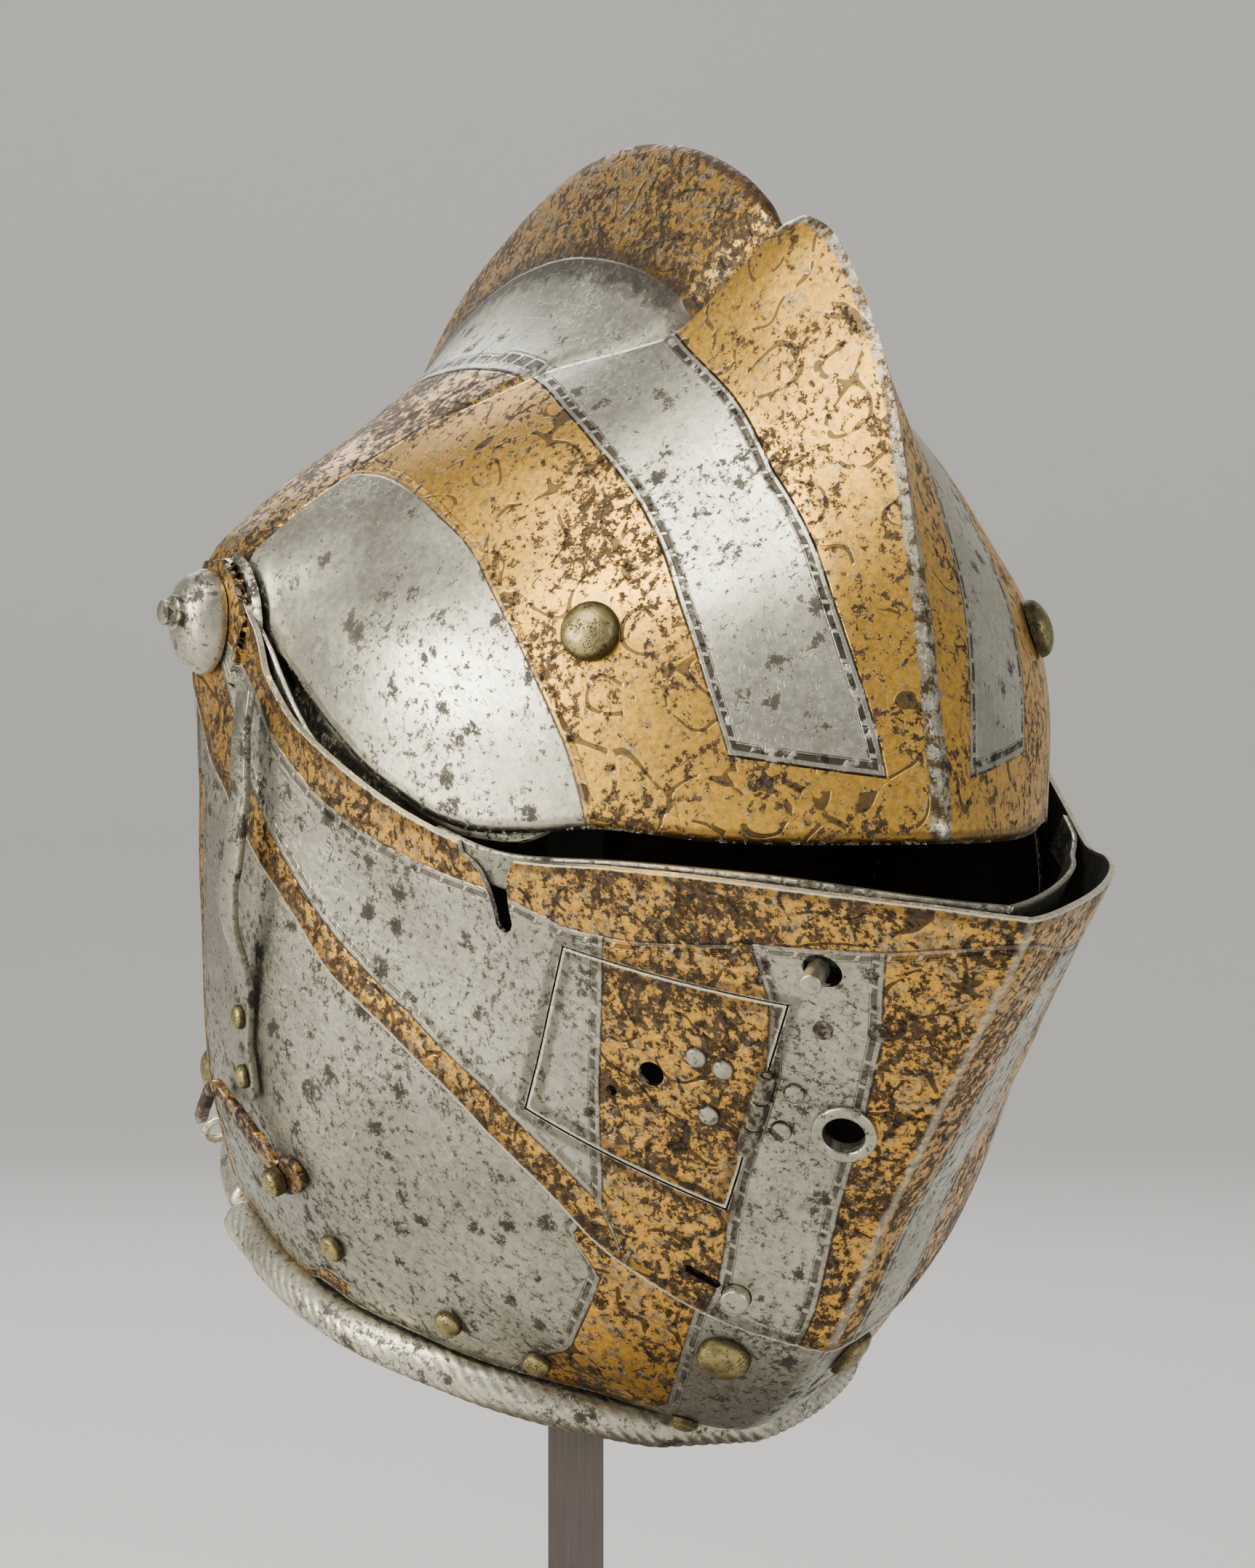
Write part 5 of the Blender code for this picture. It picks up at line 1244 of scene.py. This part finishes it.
def hinge_axis():
    """The frame of the door's hinge, with Y along the pin."""
    middle, outline = door_outline(0.0)
    hinge = frame_at(bevor_skin, *HINGE_PLACE, OVER_BEVOR + SEAT_GAP + KNUCKLE_RADIUS)
    corners = placed(np.column_stack([outline, 0 * outline[:, 0]]), middle)
    along = unit(corners[1] - corners[2])
    side = unit(np.cross(along, hinge[:3, 2]))
    return axes(side, along, np.cross(side, along), hinge[:3, 3])


def build_door(looks, sizes):
    shares = np.linspace(0.655, 0.935, 90)
    lifts = np.linspace(-54.5, -25.5, 90)
    lift, turn = np.meshgrid(lifts, to_turn(shares), indexing="ij")
    points = lifted(bevor_skin, lift, turn, OVER_BEVOR)
    far = np.full(points.shape[:2] + (2,), -OUTSIDE)
    maps = [(key, [values]) for key, values in upper_maps(lift, turn, points, far, inside_door(points))]
    piece = add_plate("door_leaf", [points], maps, upper_material("door_gilt", looks, sizes),
                      UPPER_WALL, "breath_door_body", "breath_door")
    middle, outline = door_outline(0.0)
    cutters = [cut(piece, placed(prism(outline, -2 * THROUGH, 2 * THROUGH), middle), "INTERSECT")]
    for place, radius in (((-40.4, 0.810), 0.0032), ((-44.1, 0.786), 0.0014)):
        spot = frame_at(bevor_skin, *place, OVER_BEVOR)
        cutters.append(cut(piece, placed(prism(circle(radius, 28), -THROUGH, THROUGH), spot)))
    settled(piece, cutters)
    dark = dark_material(looks)
    axis = hinge_axis()
    lying = np.eye(4)
    lying[:3, :3] = np.array(Matrix.Rotation(math.radians(-90), 3, "X"))
    length = (HINGE_LENGTH - 2 * KNUCKLE_GAP) / 3
    bore, radius, soft = KNUCKLE_BORE, KNUCKLE_RADIUS, 0.0003
    ring = [(bore, 0.0), (radius - soft, 0.0), (radius, soft), (radius, length - soft),
            (radius - soft, length), (bore, length), (bore, 0.0)]
    for k, body in enumerate(("upper_bevor_body", "breath_door_body", "upper_bevor_body")):
        start = np.eye(4)
        start[1, 3] = -HINGE_LENGTH / 2 + k * (length + KNUCKLE_GAP)
        name = "knuckle_%d" % (k + 1)
        mesh = closed_mesh(name, placed(turned(ring, 28), axis @ start @ lying))
        add_piece(name, mesh, dark, body, "hinge_" + name)


def dome(radius, height):
    """A rivet's head: a quarter ellipse turned about Z on a short straight edge."""
    edge = 0.15 * height
    angle = np.linspace(0, np.pi / 2, 9)
    cap = np.stack([radius * np.cos(angle), edge + (height - edge) * np.sin(angle)], -1)
    cap[-1, 0] = 0.0
    return np.vstack([[(0.0, 0.0), (radius, 0.0)], cap])


def head_mesh(name, profile, place):
    """A turned head, with a map of the way out from its middle."""
    way = (profile[:, 0] / profile[:, 0].max())[:, None, None] / MILLIMETRES
    way = np.broadcast_to(way, (len(profile), RIVET_SIDES, 2))
    return closed_mesh(name, placed(turned(profile, RIVET_SIDES), place), [("head", [way])])


def numbered(name, count):
    return ["%s_%d" % (name, k + 1) for k in range(count)]


def rivet_heads(nodes, spots, surface, offset, size, finish, body, left=False):
    """Domed heads of one kind. The size is radius and height."""
    for node, spot in zip(nodes, spots):
        mesh = head_mesh(node + "_head", dome(*size), frame_at(surface, *spot, offset, left))
        add_piece(node + "_head", mesh, finish, body, node)


def stud(radius, low, high):
    """A turned peg with a rounded top."""
    soft = 0.0006
    angle = np.linspace(0, np.pi / 2, 5)
    top = np.stack([radius - soft + soft * np.cos(angle), high - soft + soft * np.sin(angle)], -1)
    return np.vstack([[(0.0, low), (radius, low)], top, [(0.0, high)]])


def build_rivets(looks, sizes):
    brass, steel, dark = brass_material(looks), rivet_material(looks), dark_material(looks)
    stand, lower, upper = "helmet_on_stand", "lower_bevor_body", "upper_bevor_body"
    large, middling, small = (0.0066, 0.0030), (0.0036, 0.0026), (0.0026, 0.0008)
    for side, left in (("right", False), ("left", True)):
        rivet_heads(["brow_rivet_" + side], [(-2.4, 0.712)], skull_skin, OVER_SKULL + SEAT_GAP,
                    (0.0072, 0.0046), brass, stand, left)
        rivet_heads(["chin_rivet_" + side], [(-60.1, 0.963)], bevor_skin, SEAT_GAP, large,
                    brass, lower, left)
        rivet_heads(numbered("lining_rivet_" + side, 3), [(-82.6, 0.728), (-75.2, 0.852), (-72.2, 0.915)],
                    bevor_skin, 2 * SEAT_GAP, middling, brass, lower, left)
    rivet_heads(["chin_front_rivet"], [(-68.6, 0.985)], bevor_skin, SEAT_GAP, middling,
                brass, lower)
    rivet_heads(["nape_rivet"], [(-113.5, 0.700)], skull_skin, SEAT_GAP, (0.0062, 0.0040),
                brass, stand)
    over = OVER_BEVOR + SEAT_GAP
    rivet_heads(numbered("door_rivet", 3), [(-36.7, 0.862), (-41.2, 0.868), (-36.8, 0.838)],
                bevor_skin, over, small, steel, "breath_door_body")
    rivet_heads(numbered("frame_rivet", 2), [(-36.1, 0.918), (-39.6, 0.921)],
                bevor_skin, over, small, steel, upper)
    rivet_heads(numbered("hole_plug", 2), [(-30.0, 0.916), (-28.8, 0.951)],
                bevor_skin, over, (0.0024, 0.0004), dark, upper)


def build_fittings(looks, sizes):
    bright, dark = steel_material("fitting_steel", looks, 0.80, 0.3), dark_material(looks)
    low, high, lip, bore = -UPPER_WALL - 0.0014, 0.0014, 0.0078, 0.0050
    neck, soft = lip - 0.0012 - SEAT_GAP, 0.0007
    angle = np.linspace(0, np.pi / 2, 5)
    outside = np.stack([lip - soft + soft * np.cos(angle), high - soft + soft * np.sin(angle)], -1)
    inside = np.stack([bore + soft - soft * np.sin(angle), high - soft + soft * np.cos(angle)], -1)
    foot = [(bore, low), (neck, low), (neck, SEAT_GAP), (lip, SEAT_GAP)]
    ring = np.vstack([foot, outside, inside, [(bore, low)]])
    for name, profile, spot in (("ring_bush", ring, RING_PLACE),
                                ("upper_stud", stud(0.0027, -UPPER_WALL, 0.0060), (-25.4, 0.893)),
                                ("lower_stud", stud(0.0034, -UPPER_WALL, 0.0030), LOWER_STUD_PLACE)):
        place = frame_at(bevor_skin, *spot, OVER_BEVOR)
        mesh = closed_mesh(name + "_turned", placed(turned(profile, 56), place))
        add_piece(name + "_turned", mesh, bright, "upper_bevor_body", name)
    outer = HALF_WIDTH + BEVOR_SPREAD + OVER_BEVOR + SEAT_GAP
    (share, height), _ = resampled([(1.0, 0.0), (1.0, 0.12), (0.93, 0.42), (0.76, 0.72), (0.52, 0.93)], 24)
    angles = 2 * np.pi * np.arange(64) / 64
    tail = np.maximum(0.0, -np.sin(angles)) ** 2
    radii = share[:, None] * (CAP_RADIUS + CAP_TAIL * tail)
    heights = height[:, None] * CAP_HEIGHT + CAP_LIFT * tail * (1 - height[:, None])
    nub = [(0.0042, 0.0082), (0.0042, 0.0096), (0.0038, 0.0099), (0.0030, 0.0099), (0.0030, 0.0122),
           (0.0026, 0.0124)]
    radii = np.vstack([0 * radii[:1], radii] + [0 * angles + r for r, _ in nub] + [0 * radii[:1]])
    heights = np.vstack([heights[:1], heights] + [0 * angles + h for _, h in nub + nub[-1:]])
    for side, sign in (("right", -1), ("left", 1)):
        points = np.stack([sign * (outer + heights), radii * np.cos(angles), radii * np.sin(angles)], -1)
        mesh = closed_mesh("cap_" + side, points)
        add_piece("cap_" + side, mesh, bright, "helmet_on_stand", "pivot_cap_" + side)
        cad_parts["pivot_bolt_" + side].data.materials[0] = dark
    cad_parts["hinge_pin"].data.materials[0] = bright


def rope(path, radius, strands, pitch, depth, sides, up):
    """A twisted roll. Its radius falls by the depth in grooves, where strands times the angle
    plus the way along over the pitch is a whole number of turns."""
    length = run_of(path)
    angle = 2 * np.pi * np.arange(sides) / sides
    phase = strands * angle[None] + 2 * np.pi * length[:, None] / pitch
    swell = np.abs(np.sin(phase / 2)) ** 0.6
    ends = np.minimum(length, length[-1] - length)
    cap = np.sqrt(np.clip(1 - (1 - np.clip(ends / (0.6 * radius), 0, 1)) ** 2, 0.02, 1))
    lower = 0.25 + 0.75 * ease(-np.sin(angle), -0.6, 0.6)
    size = (radius - depth * lower * (1 - swell)) * cap[:, None]
    outline = np.stack([size * np.cos(angle), size * np.sin(angle)], -1)
    groove = 1 - (1 - swell) * lower
    groove = np.concatenate([groove[:1], groove, groove[-1:]])
    return swept(path, outline, up), np.stack([groove, groove], -1) / MILLIMETRES


def along_path(path, step):
    """The path at even steps."""
    length = run_of(path)
    want = np.linspace(0, length[-1], int(length[-1] / step) + 1)
    return np.stack([np.interp(want, length, path[:, c]) for c in range(3)], -1)


def build_rims(looks, sizes):
    finish = rim_material(looks)
    back, front = nape_path(160), front_path(220)
    back[0, 0] = front[-1, 0] = 0.0
    other = np.array((-1, 1, 1))
    paths = {"nape_rim": (np.vstack([back[::-1], (back * other)[1:]]), "helmet_on_stand"),
             "lower_rim": (np.vstack([front, (front * other)[-2::-1]]), "lower_bevor_body")}
    for node, (path, body) in paths.items():
        grid, groove = rope(along_path(path, 0.00052), RIM_RADIUS, sizes.rope_strands, sizes.rope_pitch,
                            sizes.rope_depth, 78, np.array((0.0, 0.0, 1.0)))
        mesh = closed_mesh(node + "_rope", grid, [("groove", [groove])])
        add_piece(node + "_rope", mesh, finish, body, node)


def rounded_box(width, thickness):
    """An outline with rounded corners, for each pair of width and thickness."""
    soft, sides = 0.0005, 4
    width, thickness = width[:, None] / 2, thickness[:, None]
    quarters = [np.linspace(start, start + 90, sides) for start in (0, 90, 180, 270)]
    angles = np.radians(np.concatenate(quarters))
    right = np.repeat((1, -1, -1, 1), sides)
    top = np.repeat((1, 1, 0, 0), sides)
    x = right * (width - soft) + soft * np.cos(angles)
    y = soft + top * (thickness - 2 * soft) + soft * np.sin(angles)
    return np.stack([x, y], -1)


def build_catch(looks, sizes):
    (lift, share, standing), place = resampled([
        (-33.5, 0.172, 0.65), (-50, 0.216, 0.85), (-64.7, 0.284, 1.00), (-74, 0.350, 0.80), (-80, 0.408, 0.20),
        (-84, 0.452, 0.05), (-86, 0.500, 0.05), (-87, 0.540, 0.05)], 110)
    turn = to_turn(share)
    down = ease(place, 3.2, 4.6)
    ground = (OVER_BEVOR + BAR_SEAT) * (1 - down) + BAR_SEAT * down
    low = lifted(bevor_skin, lift, turn, ground + BAR_STANDING * standing)
    up = normals(bevor_skin, lift, turn)
    width = 0.0066 + 0.0024 * ease(place, 3.6, 4.6) - 0.0026 * np.exp(-((place - 5.55) / 0.30) ** 2)
    width = width * np.sqrt(np.clip(1 - ((place - 6.5) / 0.5).clip(0, 1) ** 2, 0.05, 1))
    mesh = closed_mesh("catch_spring", swept(low, rounded_box(width, BAR_THICKNESS + 0 * width), up))
    add_piece("catch_spring", mesh, steel_material("catch_steel", looks, 0.62, 0.6),
              "lower_bevor_body", "catch_bar")
    foot = BAR_STANDING * 0.05 + BAR_SEAT + BAR_THICKNESS
    rivet_heads(numbered("bar_rivet", 2), [(-84.2, 0.456), (-86.3, 0.515)], bevor_skin,
                foot + SEAT_GAP, (0.0030, 0.0020), brass_material(looks), "lower_bevor_body")


def build_hook(looks, sizes):
    (lift, share, standing), place = resampled([
        (-80.6, 0.652, 0.0006), (-82.6, 0.642, 0.0006), (-85.0, 0.628, 0.0010), (-86.6, 0.590, 0.0022),
        (-90.2, 0.545, 0.0030), (-93.2, 0.530, 0.0034), (-95.6, 0.545, 0.0034), (-99.5, 0.590, 0.0036),
        (-105.0, 0.635, 0.0034)], 120)
    path = lifted(bevor_skin, lift, to_turn(share), standing)
    up = normals(bevor_skin, lift, to_turn(share))
    head = np.sqrt(np.clip(1 - ((place - 1.4) / 1.4).clip(-1, 0) ** 2, 0.02, 1))
    width = (0.0098 - 0.0068 * ease(place, 1.6, 5.0)) * head
    outline = rounded_box(width, 0.0020 + 0.0006 * ease(place, 3.5, 5.5))
    brass, net = brass_material(looks), Net("hook_gilt")
    gold = toned(looks.gilt, (0.62, 0.55, 0.45))
    gilt = gilt_look(net, net.place(), gold, toned(looks.etched, 0.6), toned(looks.steel, 0.5), 0.1)
    mesh = closed_mesh("hook_strap", swept(path, outline, up))
    add_piece("hook_strap", mesh, net.finish(*gilt), "neck_hook_body", "neck_hook")
    seat = frame_at(bevor_skin, -84.8, 0.634, SEAT_GAP + 0.0030 + 0.0015)
    rivet = dome(0.0036, 0.0024)
    rivet[0:2, 1] -= 0.0016
    mesh = head_mesh("hook_rivet_head", rivet, seat)
    add_piece("hook_rivet_head", mesh, brass, "neck_hook_body", "hook_rivet")
    angles = np.linspace(0, math.pi, 40)
    bow = STAPLE_RADIUS * np.stack([np.cos(angles), 0 * angles, np.sin(angles)], -1)
    foot = STAPLE_RADIUS * np.array([(1.0, 0.0, -0.8)])
    bow = np.vstack([foot, bow, foot * np.array((-1, 1, 1))]) + np.array((0, 0, 0.8 * STAPLE_RADIUS))
    wire = swept(along_path(bow, 0.0004), circle(STAPLE_WIRE, 16), np.array((0.0, 1.0, 0.0)))
    mesh = closed_mesh("staple_loop", placed(wire, frame_at(skull_skin, -109.5, 0.735, SEAT_GAP)))
    add_piece("staple_loop", mesh, steel_material("staple_steel", looks, 1.1),
              "helmet_on_stand", "neck_staple")


def build_stand(looks, sizes):
    paint = stand_material(looks)
    for node in ("stand_base", "stand_post", "stand_cradle"):
        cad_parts[node].data.materials[0] = paint


def area_light(name, place, target, size, power, colour):
    """A soft light that looks at the target."""
    lamp = bpy.data.lights.new(name, "AREA")
    lamp.shape = "RECTANGLE"
    lamp.size, lamp.size_y = size
    lamp.energy = power
    lamp.color = colour
    z = unit(np.array(place) - np.array(target))
    x = unit(np.cross((0, 0, 1), z))
    linked(name, lamp, axes(x, np.cross(z, x), z, place))


def build_stage(looks, sizes):
    across = np.linspace(-4, 4, 3)
    bend = np.linspace(0, np.pi / 2, 13)
    curve = np.stack([2.2 + 0.9 * np.sin(bend), 0.9 - 0.9 * np.cos(bend)], -1)
    profile = np.vstack([[(-4.0, 0.0)], curve, [(3.1, 5.0)]])
    turn = math.radians(CAMERA_TURN)
    x, along = np.meshgrid(across, profile[:, 0], indexing="ij")
    z = np.broadcast_to(profile[:, 1], x.shape)
    grid = np.stack([x * math.cos(turn) + along * math.sin(turn),
                     -x * math.sin(turn) + along * math.cos(turn), z - PIVOT_HEIGHT - 0.0003], -1)
    mesh = grid_mesh("backdrop", [grid], closed=True)
    paint = Net("backdrop_paper")
    tone = paint.noise(paint.place(), 300.0, 1.0)
    floor = tuple(looks.floor)
    paint.finish(paint.blend(tone, toned(floor, 0.97), floor), tone * 0.05 + 0.75, tone * 0.0, 0.0)
    mesh.materials.append(paint.material)
    backdrop = linked("backdrop", mesh)
    world = bpy.data.worlds.new("studio")
    bpy.context.scene.world = world
    world.use_nodes = True
    sky = world.node_tree.nodes["Background"].inputs
    sky["Color"].default_value = (0.84, 0.83, 0.80, 1.0)
    sky["Strength"].default_value = 0.42
    middle = (0.0, -0.03, 0.25)
    area_light("key", (-2.0, 0.15, 0.72), middle, (0.75, 0.75), 46.0, (1.0, 0.96, 0.86))
    area_light("top", (-1.25, -0.35, 1.75), middle, (0.8, 0.8), 30.0, (1.0, 0.96, 0.88))
    area_light("fill", (0.9, -2.0, 0.7), middle, (1.2, 1.2), 20.0, (0.93, 0.96, 1.0))
    area_light("back", (0.6, 1.6, 1.5), middle, (1.0, 0.8), 18.0, (1.0, 1.0, 1.0))
    right = np.array((math.cos(turn), -math.sin(turn), 0.0))
    tilt = math.radians(CAMERA_TILT)
    back = np.array((-math.sin(turn) * math.cos(tilt), -math.cos(turn) * math.cos(tilt), math.sin(tilt)))
    up = np.cross(back, right)
    across_shift = (PICTURE[0] / 2 - PIVOT_IN_PICTURE[0]) / PIXELS_PER_METRE
    up_shift = (PIVOT_IN_PICTURE[1] - PICTURE[1] / 2) / PIXELS_PER_METRE
    place = np.array((0, 0, PIVOT_HEIGHT)) + right * across_shift + up * up_shift + back * CAMERA_DISTANCE
    camera = bpy.data.cameras.new("camera")
    camera.lens = PIXELS_PER_METRE * CAMERA_DISTANCE * SENSOR / PICTURE[1]
    camera.sensor_width = SENSOR
    bpy.context.scene.camera = linked("camera", camera, axes(right, up, back, place))


# Add-on

def colour_property(label, text, default):
    return bpy.props.FloatVectorProperty(
        name=label, description=text, default=default, subtype="COLOR", min=0, max=1)


class HelmetColours(bpy.types.PropertyGroup):
    steel: colour_property("Steel", "Colour of the bare plates", (0.66, 0.63, 0.50))
    gilt: colour_property("Gilding", "Colour of the gilt ground", (0.96, 0.53, 0.082))
    etched: colour_property("Etching", "Colour of the etched lines", (0.17, 0.14, 0.10))
    brass: colour_property("Brass", "Colour of the large rivets", (0.38, 0.32, 0.14))
    patina: colour_property("Patina", "Colour of the darkened steel", (0.055, 0.040, 0.030))
    stand: colour_property("Stand", "Colour of the stand's paint", (0.13, 0.11, 0.10))
    floor: colour_property("Backdrop", "Colour of the floor and backdrop", (0.72, 0.71, 0.69))


def length_property(label, text, default):
    return bpy.props.FloatProperty(name=label, description=text, default=default, unit="LENGTH")


class HelmetSizes(bpy.types.PropertyGroup):
    dash_length: length_property("Dash length", "Length of the sunk dashes beside the bands", 0.0055)
    comb_band: length_property("Comb gilding", "Distance of the comb's border from the middle", 0.0155)
    rear_band: length_property("Rear band", "Width of the gilt band behind the cheek", 0.006)
    crown_band: bpy.props.FloatVectorProperty(
        name="Crown band", description="Shares between which the bowl is gilt", size=2, default=(0.50, 0.815))
    rope_pitch: length_property("Rope pitch", "Distance between grooves along the rims", 0.0036)
    rope_depth: length_property("Rope depth", "Depth of the grooves in the rims", 0.0006)
    rope_strands: bpy.props.IntProperty(
        name="Rope strands", description="Strands around the roped rims", default=10)


def piece_operator(key, label, text, build):
    """An operator class that runs one of the builders."""
    def execute(self, context):
        build(context.scene.helmet_colours, context.scene.helmet_sizes)
        return {"FINISHED"}
    return type("HELMET_OT_" + key, (bpy.types.Operator,), {
        "bl_idname": "helmet." + key, "bl_label": label, "__doc__": text, "execute": execute})


OPERATORS = (
    piece_operator("stage", "Stage", "Adds the backdrop, the soft lights and the camera", build_stage),
    piece_operator("skull", "Skull", "Builds the bowl with its comb", build_skull),
    piece_operator("brow", "Brow plate", "Builds the etched and gilt plate over the brow", build_brow),
    piece_operator("lower_bevor", "Lower bevor", "Builds the chin and cheek plate", build_lower_bevor),
    piece_operator("upper_bevor", "Upper bevor", "Builds the face plate and the plate inside it", build_upper_bevor),
    piece_operator("door", "Breath door", "Builds the door and its hinge", build_door),
    piece_operator("rims", "Roped rims", "Builds the twisted rolls around the neck", build_rims),
    piece_operator("rivets", "Rivets", "Builds the heads of all rivets and plugs", build_rivets),
    piece_operator("fittings", "Fittings", "Builds the ring, the studs and the pivot caps", build_fittings),
    piece_operator("catch", "Catch bar", "Builds the spring catch on the cheek", build_catch),
    piece_operator("hook", "Neck hook", "Builds the hook at the neck and its staple", build_hook),
    piece_operator("stand", "Stand", "Paints the stand", build_stand),
)


class HELMET_PT_panel(bpy.types.Panel):
    """Lists the helmet's builders and their settings"""
    bl_idname = "HELMET_PT_panel"
    bl_label = "Helmet"
    bl_space_type = "VIEW_3D"
    bl_region_type = "UI"
    bl_category = "Helmet"

    def draw(self, context):
        for group in (context.scene.helmet_colours, context.scene.helmet_sizes):
            for key in group.bl_rna.properties.keys():
                if key not in {"rna_type", "name"}:
                    self.layout.prop(group, key)
        for operator in OPERATORS:
            self.layout.operator(operator.bl_idname)


CLASSES = (HelmetColours, HelmetSizes) + OPERATORS + (HELMET_PT_panel,)


def register():
    for item in CLASSES:
        bpy.utils.register_class(item)
    bpy.types.Scene.helmet_colours = bpy.props.PointerProperty(type=HelmetColours)
    bpy.types.Scene.helmet_sizes = bpy.props.PointerProperty(type=HelmetSizes)


def unregister():
    del bpy.types.Scene.helmet_sizes
    del bpy.types.Scene.helmet_colours
    for item in reversed(CLASSES):
        bpy.utils.unregister_class(item)


def main():
    register()
    for operator in OPERATORS:
        getattr(bpy.ops.helmet, operator.bl_idname.split(".")[1])()
    bpy.context.view_layer.update()


if __name__ == "__main__":
    main()
